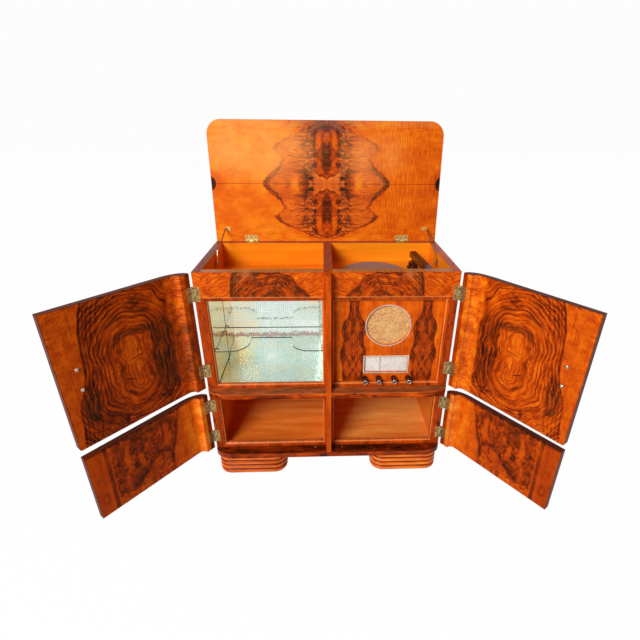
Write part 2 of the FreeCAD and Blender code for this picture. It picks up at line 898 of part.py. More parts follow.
def lid_stay_bracket():
    """An ear under the closed lid with the pin of the right upper stay bar."""
    lid_bottom = carcass_height + lid_gap
    y = lid_pin_y - stay_lid_reach
    z = lid_pin_z - stay_lid_drop
    x_in, x_out = stay_upper_x()
    ear_out = x_in - elbow_gap
    ear_in = ear_out - bracket_thickness
    ear = block(
        ear_in, ear_out, y - stay_bar_width / 2, y + stay_bar_width / 2, z - stay_bar_width / 2, lid_bottom
    )
    foot = block(
        ear_in - bracket_width, ear_out,
        y - bracket_width / 2, y + bracket_width / 2,
        lid_bottom - bracket_thickness, lid_bottom,
    )
    pin = rod(V(ear_in, y, z), V(1, 0, 0), stay_pin_radius, x_out + stay_pin_overrun - ear_in)
    return ear.fuse([foot, pin]).removeSplitter()


def stay_points():
    """The lid pivot, the elbow and the case pivot of a stay with the lid open, as (y, z)."""
    angle = math.radians(-lid_open_angle)
    dy, dz = -stay_lid_reach, -stay_lid_drop
    lid_y = lid_pin_y + dy * math.cos(angle) - dz * math.sin(angle)
    lid_z = lid_pin_z + dy * math.sin(angle) + dz * math.cos(angle)
    lid_point = (lid_y, lid_z)
    case_point = (back_y - stay_case_back_gap, carcass_height - stay_case_drop)
    return lid_point, elbow_point(case_point, lid_point), case_point


def elbow_point(case_point, lid_point):
    """Where the two bars meet, on the upper side of the line between their far ends."""
    dy, dz = lid_point[0] - case_point[0], lid_point[1] - case_point[1]
    span = math.hypot(dy, dz)
    cosine = (stay_lower_length ** 2 + span ** 2 - stay_upper_length ** 2) / (2 * stay_lower_length * span)
    lift = math.atan2(dz, dy) + math.acos(max(-1, min(1, cosine)))
    return (
        case_point[0] + stay_lower_length * math.cos(lift),
        case_point[1] + stay_lower_length * math.sin(lift),
    )


def stay_bar(start, end, x_in, x_out):
    """A flat bar with round ends between two pivots."""
    dy, dz = end[0] - start[0], end[1] - start[1]
    length = math.hypot(dy, dz)
    bar = block(x_in, x_out, 0, length, -stay_bar_width / 2, stay_bar_width / 2)
    for y in (0, length):
        bar = bar.fuse(rod(V(x_in, y, 0), V(1, 0, 0), stay_bar_width / 2, x_out - x_in))
    bar = turned(bar.removeSplitter(), V(0, 0, 0), V(1, 0, 0), math.degrees(math.atan2(dz, dy)))
    bar.translate(V(0, start[0], start[1]))
    return bar


def make_stays():
    """Two folding stays: a long bar on the lid and a short bar on the side."""
    lid_point, elbow, case_point = stay_points()
    hole_radius = stay_pin_radius + hinge_pin_clearance
    x_in, x_out = stay_upper_x()
    upper = stay_bar(elbow, lid_point, x_in, x_out)
    upper = upper.cut(
        rod(V(x_in - cut_overrun, *lid_point), V(1, 0, 0), hole_radius,
            stay_bar_thickness + 2 * cut_overrun)
    )
    parts["stay_upper_links"] = [upper, mirrored(upper)]

    low_in, low_out = stay_lower_x()
    lower = stay_bar(case_point, elbow, low_in, low_out)
    lower = lower.cut(
        rod(V(low_in - cut_overrun, *case_point), V(1, 0, 0), hole_radius,
            stay_bar_thickness + 2 * cut_overrun)
    )
    rivet_length = stay_plane_gap - elbow_gap
    rivet = rod(V(low_in, *elbow), V(-1, 0, 0), stay_pin_radius, rivet_length)
    lower = lower.fuse(rivet).removeSplitter()
    parts["stay_lower_links"] = [lower, mirrored(lower)]

    y, z = case_point
    plate = block(
        wall_x - bracket_thickness, wall_x,
        y - bracket_width / 2, y + bracket_width / 2,
        z - bracket_length / 2, z + bracket_length / 2,
    )
    pin = rod(V(wall_x, y, z), V(-1, 0, 0), stay_pin_radius, wall_x - low_in + stay_pin_overrun)
    bracket = plate.fuse(pin).removeSplitter()
    parts["stay_case_brackets"] = [bracket, mirrored(bracket)]


def make_radio_panel():
    """The panel with its speaker opening, dial window and spindle holes, and the speaker behind."""
    panel = block(divider_x, wall_x, frame_back_y, radio_back_y, mid_top, apron_bottom)
    through = radio_panel_thickness + 2 * cut_overrun
    start_y = frame_back_y - cut_overrun
    holes = [rod(V(bay_centre_x, start_y, speaker_z), V(0, 1, 0), speaker_radius, through)]
    holes.append(
        block(
            bay_centre_x - dial_width / 2, bay_centre_x + dial_width / 2,
            start_y, start_y + through,
            dial_z - dial_height / 2, dial_z + dial_height / 2,
        )
    )
    for x in knob_places.values():
        holes.append(
            rod(V(x, start_y, knob_z), V(0, 1, 0), spindle_radius + spindle_clearance, through)
        )
    parts["radio_panel"] = [panel.cut(holes)]

    centre = V(bay_centre_x, frame_back_y, speaker_z)
    outer = rod(centre, V(0, -1, 0), speaker_radius + speaker_ring_width, speaker_ring_proud)
    inner = rod(
        centre + V(0, cut_overrun, 0), V(0, -1, 0), speaker_radius,
        speaker_ring_proud + 2 * cut_overrun,
    )
    parts["speaker_ring"] = [outer.cut(inner)]
    cloth_radius = speaker_radius + cloth_margin
    behind = V(bay_centre_x, radio_back_y, speaker_z)
    parts["speaker_cloth"] = [rod(behind, V(0, 1, 0), cloth_radius, cloth_thickness)]
    parts["speaker_driver"] = [speaker_driver(behind + V(0, cloth_thickness, 0), cloth_radius)]


def speaker_driver(front, radius):
    """Basket, cone and magnet turned about the speaker's axis, hollow towards the cloth."""
    flange = basket_flange_thickness
    neck = basket_depth - magnet_depth
    outline = [
        (radius, 0), (radius, flange), (speaker_radius, flange), (magnet_radius, neck),
        (magnet_radius, basket_depth), (0, basket_depth), (0, neck - cone_wall),
        (dust_cap_radius, neck - flange - cone_wall), (speaker_radius - cone_wall, 0),
    ]
    driver = flat_face(outline).revolve(V(0, 0, 0), V(0, 1, 0), 360)
    driver.translate(front)
    return driver


def make_dial():
    """Glass, scale plate and the pointer that runs between them."""
    x0, x1 = bay_centre_x - dial_width / 2, bay_centre_x + dial_width / 2
    z0, z1 = dial_z - dial_height / 2, dial_z + dial_height / 2
    gap = dial_glass_gap
    parts["dial_glass"] = [
        block(
            x0 + gap, x1 - gap, frame_back_y, frame_back_y + dial_glass_thickness, z0 + gap, z1 - gap
        )
    ]
    margin = dial_scale_margin
    parts["dial_scale"] = [
        block(
            x0 - margin, x1 + margin,
            radio_back_y, radio_back_y + dial_scale_thickness,
            z0 - margin, z1 + margin,
        )
    ]
    x = x0 + dial_width * pointer_share
    y = radio_back_y - pointer_scale_gap
    parts["dial_pointer"] = [
        block(
            x - pointer_width / 2, x + pointer_width / 2,
            y - pointer_thickness, y,
            z0 + pointer_end_gap, z1 - pointer_end_gap,
        )
    ]


def make_knobs():
    """Four turned knobs, each on its spindle."""
    tip = knob_length
    skirt = knob_skirt_thickness
    outline = [
        (0, 0), (knob_skirt_radius, 0), (knob_skirt_radius, skirt), (knob_radius, skirt),
        (knob_front_radius, tip - knob_dome_round), (knob_front_radius - knob_dome_round, tip), (0, tip),
    ]
    knob = flat_face(outline).revolve(V(0, 0, 0), V(0, 1, 0), 360)
    knob = turned(knob, V(0, 0, 0), V(0, 0, 1), 180)
    base_y = frame_back_y - knob_panel_gap
    spindle_length = front_y + chassis_front_y - knob_panel_gap - base_y
    spindle = rod(V(0, 0, 0), V(0, 1, 0), spindle_radius, spindle_length)
    knob = knob.fuse(spindle).removeSplitter()
    for name, x in knob_places.items():
        copy = knob.copy()
        copy.translate(V(x, base_y, knob_z))
        parts[name] = [copy]


def make_chassis():
    """The radio chassis with its transformer and tuning capacitor, and the valves on it."""
    x0, x1 = chassis_left_x, chassis_left_x + chassis_width
    y0 = front_y + chassis_front_y
    y1 = y0 + chassis_depth
    top = mid_top + chassis_height
    tray = block(x0, x1, y0, y1, mid_top, top)
    hollow = block(
        x0 + chassis_wall, x1 - chassis_wall,
        y0 + chassis_wall, y1 - chassis_wall,
        mid_top - cut_overrun, top - chassis_wall,
    )
    transformer_x = x1 - transformer_inset
    transformer = block(
        transformer_x - transformer_width / 2, transformer_x + transformer_width / 2,
        front_y + transformer_y - transformer_depth / 2, front_y + transformer_y + transformer_depth / 2,
        top, top + transformer_height,
    )
    capacitor_x = bay_centre_x + capacitor_offset
    capacitor = block(
        capacitor_x - capacitor_width / 2, capacitor_x + capacitor_width / 2,
        front_y + capacitor_y - capacitor_depth / 2, front_y + capacitor_y + capacitor_depth / 2,
        top, top + capacitor_height,
    )
    parts["radio_chassis"] = [tray.cut(hollow), transformer, capacitor]
    valves = []
    for index in range(valve_count):
        x = x0 + valve_first_inset + index * valve_pitch
        base = rod(V(x, front_y + valve_row_y, top), V(0, 0, 1), valve_base_radius, valve_base_height)
        bulb_height = valve_height - valve_base_height - valve_radius
        bulb_base = V(x, front_y + valve_row_y, top + valve_base_height)
        bulb = rod(bulb_base, V(0, 0, 1), valve_radius, bulb_height)
        dome = Part.makeSphere(valve_radius, bulb_base + V(0, 0, bulb_height))
        valves.append(base.fuse([bulb, dome]).removeSplitter())
    parts["valves"] = valves


def make_record_player():
    """Platter with its mat and the motor under the board."""
    x, y = platter_x, front_y + platter_y
    bottom = motor_board_top + platter_lift
    top = bottom + platter_height
    shaft_bottom = apron_bottom - motor_flange_thickness - shaft_depth_in_motor
    outline = [
        (0, shaft_bottom), (motor_shaft_radius, shaft_bottom), (motor_shaft_radius, bottom),
        (platter_hub_radius, bottom), (platter_hub_radius, top - platter_wall),
        (platter_radius - platter_wall, top - platter_wall), (platter_radius - platter_wall, bottom),
        (platter_radius, bottom), (platter_radius, top), (record_pin_radius, top),
        (record_pin_radius, top + mat_thickness + record_pin_height),
        (0, top + mat_thickness + record_pin_height),
    ]
    corners = [V(r, 0, z) for r, z in outline]
    platter = Part.Face(Part.makePolygon(corners + corners[:1])).revolve(V(0, 0, 0), V(0, 0, 1), 360)
    platter.translate(V(x, y, 0))
    parts["platter"] = [platter]
    mat = rod(V(x, y, top), V(0, 0, 1), platter_radius - mat_inset, mat_thickness)
    hole = rod(
        V(x, y, top - cut_overrun), V(0, 0, 1),
        record_pin_radius + record_pin_clearance, mat_thickness + 2 * cut_overrun,
    )
    parts["platter_mat"] = [mat.cut(hole)]

    flange = block(
        x - motor_flange_width / 2, x + motor_flange_width / 2,
        y - motor_flange_width / 2, y + motor_flange_width / 2,
        apron_bottom - motor_flange_thickness, apron_bottom,
    )
    case_top = apron_bottom - motor_flange_thickness
    case = rod(V(x, y, case_top - motor_height), V(0, 0, 1), motor_radius, motor_height)
    bore_depth = motor_flange_thickness + shaft_depth_in_motor + shaft_clearance
    bore = rod(
        V(x, y, apron_bottom - bore_depth), V(0, 0, 1),
        motor_shaft_radius + shaft_clearance, bore_depth + cut_overrun,
    )
    parts["gramophone_motor"] = [flange.fuse(case).cut(bore).removeSplitter()]


def arm_heading():
    """The direction of the pick-up arm at rest, in degrees from +X."""
    return math.degrees(math.atan2(arm_tip_y - arm_pivot_y, arm_tip_x - arm_pivot_x))


def arm_placed(shape):
    """A piece drawn along +X from the arm's pivot, brought to its place."""
    copy = turned(shape, V(0, 0, 0), V(0, 0, 1), arm_heading())
    copy.translate(V(arm_pivot_x, front_y + arm_pivot_y, motor_board_top))
    return copy


def make_arm():
    """Pick-up arm, its turret and base, and the rest it lies on, open on the platter's side."""
    reach = math.hypot(arm_tip_x - arm_pivot_x, arm_tip_y - arm_pivot_y)
    head_start = reach - arm_head_length
    tail, top, bottom = -arm_tail, arm_top_rise, arm_bottom_rise
    outline = [
        (tail, bottom), (tail, top - arm_overhang), (tail + arm_overhang, top),
        (head_start, top), (reach + arm_overhang, top - arm_overhang),
        (reach + arm_overhang, arm_head_rise), (head_start, arm_head_rise),
        (head_start - arm_overhang, bottom),
    ]
    corners = [V(x, -arm_width / 2, z) for x, z in outline]
    body = Part.Face(Part.makePolygon(corners + corners[:1])).extrude(V(0, arm_width, 0))
    stock = block(tail, reach + arm_overhang, -arm_width / 2, arm_width / 2, arm_head_rise, top)
    upper_edges = [
        e for e in stock.Edges if e.BoundBox.ZMin > top - arm_wall and e.BoundBox.XLength > arm_width
    ]
    body = body.common(stock.makeFillet(arm_round, upper_edges))
    hollow = block(
        tail + arm_wall, head_start - arm_wall,
        -arm_width / 2 + arm_wall, arm_width / 2 - arm_wall,
        arm_head_rise - cut_overrun, top - arm_wall,
    )
    body = body.cut(hollow)
    pin_hole = rod(
        V(0, -arm_width, arm_pin_rise), V(0, 1, 0), arm_pin_radius + arm_pin_clearance, 2 * arm_width
    )
    body = body.cut(pin_hole)
    needle = rod(
        V(reach, 0, arm_head_rise + needle_length), V(0, 0, -1), needle_radius, 2 * needle_length
    )
    parts["tonearm"] = [arm_placed(body.fuse(needle).removeSplitter())]

    base = rod(V(0, 0, 0), V(0, 0, 1), arm_base_radius, arm_base_height)
    parts["tonearm_base"] = [arm_placed(base)]
    turret_bottom = arm_base_height + turret_gap
    turret = rod(V(0, 0, turret_bottom), V(0, 0, 1), turret_radius, turret_height)
    post_top = top - arm_wall - arm_overhang
    post = rod(V(0, 0, turret_bottom), V(0, 0, 1), turret_post_radius, post_top - turret_bottom)
    pin = rod(V(0, -arm_width / 2, arm_pin_rise), V(0, 1, 0), arm_pin_radius, arm_width)
    parts["tonearm_turret"] = [arm_placed(turret.fuse([post, pin]).removeSplitter())]

    rest_station = head_start - rest_head_gap
    bar_top = bottom - rest_gap
    half = arm_width / 2 + rest_gap
    front, back = rest_station + rest_bar_depth / 2, rest_station - rest_bar_depth / 2
    post = rod(V(rest_station, 0, 0), V(0, 0, 1), rest_post_radius, bar_top - rest_bar_thickness)
    bar = block(back, front, -half, half + rest_bar_thickness, bar_top - rest_bar_thickness, bar_top)
    ear = block(back, front, half, half + rest_bar_thickness, bar_top, bar_top + rest_ear_height)
    parts["tonearm_rest"] = [arm_placed(post.fuse([bar, ear]).removeSplitter())]


def main():
    """Build every piece and write one file for each node."""
    make_carcass()
    make_back_panel()
    make_feet()
    make_bay_frames()
    make_aprons_and_wells()
    make_niche()
    make_glass_shelf()
    make_case_leaves()
    make_doors()
    make_catches()
    make_lid()
    make_stays()
    make_radio_panel()
    make_dial()
    make_knobs()
    make_chassis()
    make_record_player()
    make_arm()

    os.makedirs("parts", exist_ok=True)
    for name, shapes in parts.items():
        shape = shapes[0] if len(shapes) == 1 else Part.makeCompound(shapes)
        shape.exportStep("parts/" + name + ".step")
    print(len(parts), "nodes")


main()
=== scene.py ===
import json
import math

import bmesh
import bpy
from mathutils import Matrix, Vector


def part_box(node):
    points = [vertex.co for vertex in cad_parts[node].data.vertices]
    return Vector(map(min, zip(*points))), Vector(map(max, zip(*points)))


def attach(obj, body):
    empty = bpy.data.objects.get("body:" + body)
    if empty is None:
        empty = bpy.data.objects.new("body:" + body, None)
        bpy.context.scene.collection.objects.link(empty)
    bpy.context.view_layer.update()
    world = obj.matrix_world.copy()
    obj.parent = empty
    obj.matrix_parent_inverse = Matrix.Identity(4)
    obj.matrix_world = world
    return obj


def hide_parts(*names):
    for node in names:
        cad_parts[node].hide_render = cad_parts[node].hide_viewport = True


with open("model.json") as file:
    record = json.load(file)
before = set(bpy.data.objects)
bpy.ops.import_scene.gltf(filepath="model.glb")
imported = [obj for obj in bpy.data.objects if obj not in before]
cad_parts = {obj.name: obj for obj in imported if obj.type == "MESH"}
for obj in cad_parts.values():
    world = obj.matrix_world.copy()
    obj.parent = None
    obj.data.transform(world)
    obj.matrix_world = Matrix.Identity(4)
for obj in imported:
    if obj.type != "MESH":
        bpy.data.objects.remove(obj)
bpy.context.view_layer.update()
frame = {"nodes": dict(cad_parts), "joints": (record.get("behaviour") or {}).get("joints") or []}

nodes = frame["nodes"]

# Camera, fitted to the photograph
camera_place = (-0.01644, -1.6945, 1.61493)
camera_pitch = math.radians(25.771)
camera_yaw = math.radians(-2.6266)
camera_roll = math.radians(0.6813)
camera_sensor = 36.0
camera_lens = 23.913
camera_shift = -22 / 640

# Light: one large soft lamp, and a world and floor that are near white where they are seen
lamp_place = (-2.75, -4.75, 4.1)
lamp_aim = (0.0, 0.0, 0.7)
lamp_size = 2.6
lamp_power = 430.0
world_light = (0.10, 0.10, 0.10, 1)
world_seen = (0.98, 0.98, 0.98, 1)
floor_seen_share = 0.98
floor_half_size = 20.0

# Cabinet sizes that the finishes follow, in millimetres like part.py
case_front_y = -55.0
case_back_y = 413.0
case_top = 1040.0
side_inner_x = 516.0
apron_height = 113.0
apron_foot = case_top - apron_height
board_top = 132.0
board_lining_x = 530.0
rail_top = 480.0
reed_height = 26.25
bay_centre_x = 263.75
bay_half_width = 238.25
upper_bay_middle_z = 703.5
upper_bay_half_height = 205.5
lower_bay_middle_z = 291.5
lower_bay_half_height = 138.5
dial_centre_z = 585.5

# Doors, with u across the door from its hinge and t through it
door_hinge_x = 555.0
door_hinge_y = -55.5
door_inner_t = -27.5
door_free_u = 540.0
upper_door_top = 1036.5
upper_door_bottom = 483.5
lower_door_top = 448.5
lower_door_bottom = 135.5
upper_figure_height = upper_door_top - upper_door_bottom
lower_figure_height = 312.0
rows_meet_z = (upper_door_bottom + lower_door_top) / 2

# Lid, with its pin line given as y and z
lid_pin = (418.0, 1040.5)
lid_depth = 548.0
lid_edge_x = 549.0
lid_figure_half = 275.0

# Hinges: middles of the door hinges in height and of the lid hinges in width, and the screws
upper_hinge_heights = (574.0, 944.0)
lower_hinge_heights = (204.0, 380.0)
lid_hinge_x = 378.0
screw_half_spacing = 11.0
screw_from_pin = 16.5
screw_head_radius = 3.6

MM = 0.001


class Field:
    """A value that varies over a surface. Fields join with + - * / as numbers do."""

    def __init__(self, finish, socket):
        self.finish = finish
        self.socket = socket

    def __add__(self, other):
        return self.finish.math("ADD", self, other)

    __radd__ = __add__

    def __sub__(self, other):
        return self.finish.math("SUBTRACT", self, other)

    def __rsub__(self, other):
        return self.finish.math("SUBTRACT", other, self)

    def __mul__(self, other):
        return self.finish.math("MULTIPLY", self, other)

    __rmul__ = __mul__

    def __truediv__(self, other):
        return self.finish.math("DIVIDE", self, other)

    def __neg__(self):
        return self.finish.math("MULTIPLY", self, -1.0)

    def __pow__(self, other):
        return self.finish.math("POWER", self, other)

    def __abs__(self):
        return self.finish.math("ABSOLUTE", self)


class Finish:
    """A node material that is built up from fields."""

    def __init__(self, name):
        self.material = bpy.data.materials.new(name)
        self.material.use_nodes = True
        self.tree = self.material.node_tree
        self.shader = self.tree.nodes["Principled BSDF"]

    def node(self, kind, **settings):
        """A new node with its settings."""
        made = self.tree.nodes.new(kind)
        for key, value in settings.items():
            setattr(made, key, value)
        return made

    def feed(self, socket, value):
        """Gives a socket a field, or a plain value."""
        if isinstance(value, Field):
            self.tree.links.new(value.socket, socket)
        else:
            socket.default_value = value

    def math(self, operation, *values):
        """One sum of fields and numbers."""
        made = self.node("ShaderNodeMath", operation=operation)
        for socket, value in zip(made.inputs, values):
            self.feed(socket, value)
        return Field(self, made.outputs[0])

    def vector(self, operation, first, second=None):
        """One sum of vectors. SCALE takes a plain number as its second value."""
        made = self.node("ShaderNodeVectorMath", operation=operation)
        self.feed(made.inputs[0], first)
        if operation == "SCALE":
            self.feed(made.inputs["Scale"], second)
        elif second is not None:
            self.feed(made.inputs[1], second)
        return Field(self, made.outputs[0])

    def place(self, origin=(0, 0, 0), turn=(0, 0, 0), sign=(1, 1, 1)):
        """The piece's own x, y and z in millimetres, from an origin in millimetres."""
        source = self.node("ShaderNodeTexCoord")
        mapping = self.node("ShaderNodeMapping", vector_type="TEXTURE")
        mapping.inputs["Location"].default_value = [v * MM for v in origin]
        mapping.inputs["Rotation"].default_value = [math.radians(v) for v in turn]
        mapping.inputs["Scale"].default_value = [v * MM for v in sign]
        split = self.node("ShaderNodeSeparateXYZ")
        self.tree.links.new(source.outputs["Object"], mapping.inputs["Vector"])
        self.tree.links.new(mapping.outputs[0], split.inputs[0])
        return [Field(self, socket) for socket in split.outputs]

    def point(self, x, y, z):
        """Three fields as one place."""
        made = self.node("ShaderNodeCombineXYZ")
        for socket, value in zip(made.inputs, (x, y, z)):
            self.feed(socket, value)
        return Field(self, made.outputs[0])

    def noise(self, x, y, z=0.0, size=10.0, detail=2.0, rough=0.5, warp=0.0):
        """Smooth noise around 0, from about -0.5 to 0.5, with cells of a size."""
        made = self.node("ShaderNodeTexNoise", noise_dimensions="3D")
        self.feed(made.inputs["Vector"], self.point(x, y, z))
        made.inputs["Scale"].default_value = 1.0 / size
        made.inputs["Detail"].default_value = detail
        made.inputs["Roughness"].default_value = rough
        made.inputs["Distortion"].default_value = warp
        return Field(self, made.outputs["Fac"]) - 0.5

    def soft(self, value, low, high):
        """0 below low, 1 above high, and smooth between; low may be the larger."""
        made = self.node("ShaderNodeMapRange", interpolation_type="SMOOTHSTEP")
        self.feed(made.inputs["Value"], value)
        self.feed(made.inputs["From Min"], low)
        self.feed(made.inputs["From Max"], high)
        return Field(self, made.outputs[0])

    def patches(self, limits, *place, **grain):
        """Soft-edged patches of noise: 0 at the first limit and 1 at the second."""
        return self.soft(self.noise(*place, **grain), *limits)

    def capped(self, value):
        """A field that goes no higher than 1."""
        return self.math("MINIMUM", value, 1.0)

    def line(self, value, half_width, blur):
        """1 where a value is near 0, fading out over the blur."""
        return self.soft(abs(value), half_width + blur, half_width)

    def lines(self, depth, drift, strokes):
        """Lines beside an outline, each with its depth, half width, blur, weight and share of the drift."""
        return sum(
            self.line(depth + start + drift * share, half_width, blur) * weight
            for start, half_width, blur, weight, share in strokes
        )

    def spot(self, x, y, centre, radii, blur):
        """A soft oval spot, 1 in its middle."""
        dx = (x - centre[0]) / radii[0]
        dy = (y - centre[1]) / radii[1]
        return self.soft(dx * dx + dy * dy, 1.0 + blur, 1.0 - blur)

    def spots(self, x, y, drawn, blur=0.9):
        """Soft oval spots added up, each with its centre, radii and weight."""
        return sum(self.spot(x, y, centre, radii, blur) * weight for centre, radii, weight in drawn)

    def curve(self, value, low, high, points):
        """A drawn curve: values given at even shares between low and high."""
        made = self.node("ShaderNodeFloatCurve")
        bottom = min(points)
        span = max(points) - bottom
        drawn = made.mapping.curves[0].points
        last = len(points) - 1
        while len(drawn) < len(points):
            drawn.new(0.5, 0.5)
        for index, height in enumerate(points):
            drawn[index].location = (index / last, (height - bottom) / span)
        made.mapping.update()
        self.feed(made.inputs["Value"], (value - low) * (1.0 / (high - low)))
        return Field(self, made.outputs[0]) * span + bottom

    def blend(self, share, first, second):
        """The first value where the share is 0, the second where it is 1."""
        made = self.node("ShaderNodeMix", data_type="FLOAT", clamp_factor=True)
        for index, value in zip((0, 2, 3), (share, first, second)):
            self.feed(made.inputs[index], value)
        return Field(self, made.outputs[0])

    def paint(self, share, first, second):
        """The first colour where the share is 0, the second where it is 1."""
        made = self.node("ShaderNodeMix", data_type="RGBA", clamp_factor=True)
        self.feed(made.inputs[0], share)
        for index, colour in zip((6, 7), (first, second)):
            self.feed(made.inputs[index], colour if isinstance(colour, Field) else (*colour, 1.0))
        return Field(self, made.outputs[2])

    def ramp(self, value, stops):
        """A colour for each value from 0 to 1."""
        made = self.node("ShaderNodeValToRGB")
        band = made.color_ramp
        while len(band.elements) < len(stops):
            band.elements.new(0.5)
        for element, (place, colour) in zip(band.elements, stops):
            element.position = place
            element.color = (*colour, 1.0)
        self.feed(made.inputs[0], value)
        return Field(self, made.outputs[0])

    def relief(self, height, depth):
        """Small relief on the surface, its full depth in millimetres."""
        made = self.node("ShaderNodeBump")
        made.inputs["Distance"].default_value = depth * MM
        self.feed(made.inputs["Height"], height)
        self.tree.links.new(made.outputs[0], self.shader.inputs["Normal"])

    def set(self, **values):
        """Plain or varying values of the shader, by socket name with _ for a space."""
        for key, value in values.items():
            self.feed(self.shader.inputs[key.replace("_", " ")], value)
        return self.material


# Walnut tones from the darkest line to the palest strip
walnut_tones = [
    (0.00, (0.010, 0.002, 0.001)),
    (0.20, (0.065, 0.009, 0.001)),
    (0.40, (0.240, 0.026, 0.001)),
    (0.60, (0.530, 0.060, 0.002)),
    (0.80, (0.830, 0.140, 0.003)),
    (1.00, (1.000, 0.320, 0.012)),
]

# Light woods inside the bays and the wells, from their darkest to their lightest
pine_tones = [
    (0.0, (0.460, 0.080, 0.006)),
    (0.5, (0.800, 0.195, 0.022)),
    (1.0, (1.000, 0.450, 0.100)),
]
well_tones = [
    (0.0, (0.520, 0.110, 0.003)),
    (0.5, (0.900, 0.240, 0.005)),
    (1.0, (1.000, 0.380, 0.014)),
]

# Colours over the walnut tones: smoke brown, which also lays a painted grey sheen on the rail tops; a pale
# amber painted sheen and painted highlights; a painted violet reflection
smoke_and_grey_sheen_brown = (0.110, 0.040, 0.010)
painted_sheen_amber = (0.880, 0.400, 0.130)
painted_reflection_violet = (0.150, 0.060, 0.055)


def varnish(finish, colour, rough, shine, height, depth):
    """A wood's colour under varnish with worn places, and the relief of its grain."""
    x, y, z = finish.place()
    wear = finish.noise(x, y, z, size=60, detail=2)
    finish.relief(height, depth)
    return finish.set(Base_Color=colour, Roughness=wear * 0.16 + rough, Specular_IOR_Level=shine)


def pores_and_ripples(finish):
    """The open pores of a polished veneer, and its relief of pores and faint ripples."""
    x, y, z = finish.place()
    pores = finish.noise(x, y, z, size=1.6, detail=2)
    ripple = finish.noise(x, y, z, size=45, detail=1)
    return pores, pores * 0.12 + ripple


def polish(finish, tone, tones=walnut_tones, rough=0.30, shine=0.06, smoke=None, painted_sheen=None, painted_reflection=None):
    """French polish over a toned veneer, with smoky places, a painted pale sheen and painted highlights, and
    a painted violet reflection.
    """
    colour = finish.ramp(tone, tones)
    for share, tint in ((smoke, smoke_and_grey_sheen_brown), (painted_sheen, painted_sheen_amber), (painted_reflection, painted_reflection_violet)):
        if share is not None:
            colour = finish.paint(share, colour, tint)
    pores, height = pores_and_ripples(finish)
    return varnish(finish, colour, pores * 0.06 + rough, shine, height, 0.5)


def long_grain(finish, along, across, depth, seed, width):
    """Plain straight grain: fine streaks and broad bands."""
    fine = finish.noise(along * (width / 160), across + seed, depth, size=width, detail=3, rough=0.6)
    broad = finish.noise(along * 0.12, across + seed * 3, depth, size=width * 9, detail=2)
    return fine * 0.5 + broad * 0.5


def burl_wood(finish, run, across, depth, level, seed, streak):
    """Tone of dark, stripy and mottled walnut for edges, rails and frames."""
    wander = finish.noise(run * 0.2, across, depth, size=30, detail=2) * 10
    grain = long_grain(finish, run, across + wander, depth, seed, 3.5)
    flame = finish.noise(run * 0.3, across, depth + seed, size=40, detail=5, rough=0.66, warp=0.6)
    blots = finish.patches((0.04, 0.2), run * 0.5, across, depth + seed * 2, size=24, detail=4, rough=0.62)
    return level + grain * streak + flame * streak * 1.4 - blots * streak * 0.4


def figure_warp(finish, x, y, seed, wide, fine):
    """How far the figure wanders off its drawn shape, along x and along y."""
    moves = []
    for wide_seed, fine_seed in ((seed, seed + 5), (seed + 31, seed + 47)):
        sway = finish.noise(x, y, wide_seed, size=90, detail=1)
        shake = finish.noise(x, y, fine_seed, size=24, detail=4, rough=0.62)
        moves.append(sway * wide + shake * fine)
    return moves


def oval_reach(x, y, centre, radii):
    """Distance from a centre in shares of the radii, 1 on their oval."""
    dx = (x - centre[0]) / radii[0]
    dy = (y - centre[1]) / radii[1]
    return (dx * dx + dy * dy) ** 0.5


def long_oval(finish, x, y, centre, half_length):
    """Distance in millimetres from an upright line, and the angle round it."""
    dx = x - centre[0]
    dy = finish.math("MAXIMUM", abs(y - centre[1]) - half_length, 0.0)
    along = finish.math("ARCTAN2", y - centre[1], dx)
    return (dx * dx + dy * dy) ** 0.5, along


def wispy_rings(finish, reach, along, seed=4.0, spacing=16.0):
    """Uneven growth rings that follow an oval: broad, fine and drawn lines."""
    broad = finish.noise(reach, along * 10, seed, size=8.0, detail=4, rough=0.68)
    fine = finish.noise(reach, along * 20, seed + 5, size=3.6, detail=3, rough=0.65)
    drift = finish.noise(reach * 0.3, along * 7, seed + 9, size=9, detail=3) * 2.6
    wave = finish.math("SINE", reach * (math.tau / spacing) + drift)
    broken = finish.patches((-0.18, 0.12), reach * 0.2, along * 11, seed + 3, size=9, detail=2)
    return broad, fine, finish.soft(wave, 0.35, 1.0) * broken


# Lines inside the boundary of the upper doors' figure: depth, half width, blur, weight, share of the warp
upper_door_lines = [
    (5, 2.6, 4, 1.0, 0.10),
    (18, 0.8, 5, 0.6, 0.2),
    (31, 1.6, 5, 0.6, 0.3),
    (46, 1.2, 5, 0.5, 0.4),
    (63, 2.2, 5, 0.45, 0.5),
]

# Spots in the doors' figure: centre and radii, across and down, and weight
upper_door_knots = [
    ((100, 322), (7, 12), 1.0),
    ((116, 460), (14, 26), 1.0),
    ((352, 530), (10, 28), 1.0),
    ((236, 60), (26, 22), 0.7),
    ((330, 34), (22, 16), 0.6),
    ((170, 500), (34, 18), 0.7),
]
# Painted shade on the left upper doors: a spot low by the free edge, and one up the flank
upper_door_shade = [
    ((424, 480), (84, 120), 1.0),
    ((396, 230), (44, 190), 0.5),
]
lower_door_dark = [
    ((272, 168), (32, 18), 1.0),
    ((428, 150), (30, 24), 1.0),
    ((345, 226), (28, 15), 1.0),
    ((362, 70), (18, 44), 1.0),
    ((436, 222), (24, 40), 1.0),
    ((300, 30), (90, 22), 0.6),
    ((420, 60), (14, 44), 0.7),
]
lower_door_lenses = [
    ((212, 112), (14, 46), 1.0),
    ((338, 150), (12, 36), 1.0),
    ((386, 96), (13, 34), 1.0),
    ((452, 40), (9, 40), 1.0),
]


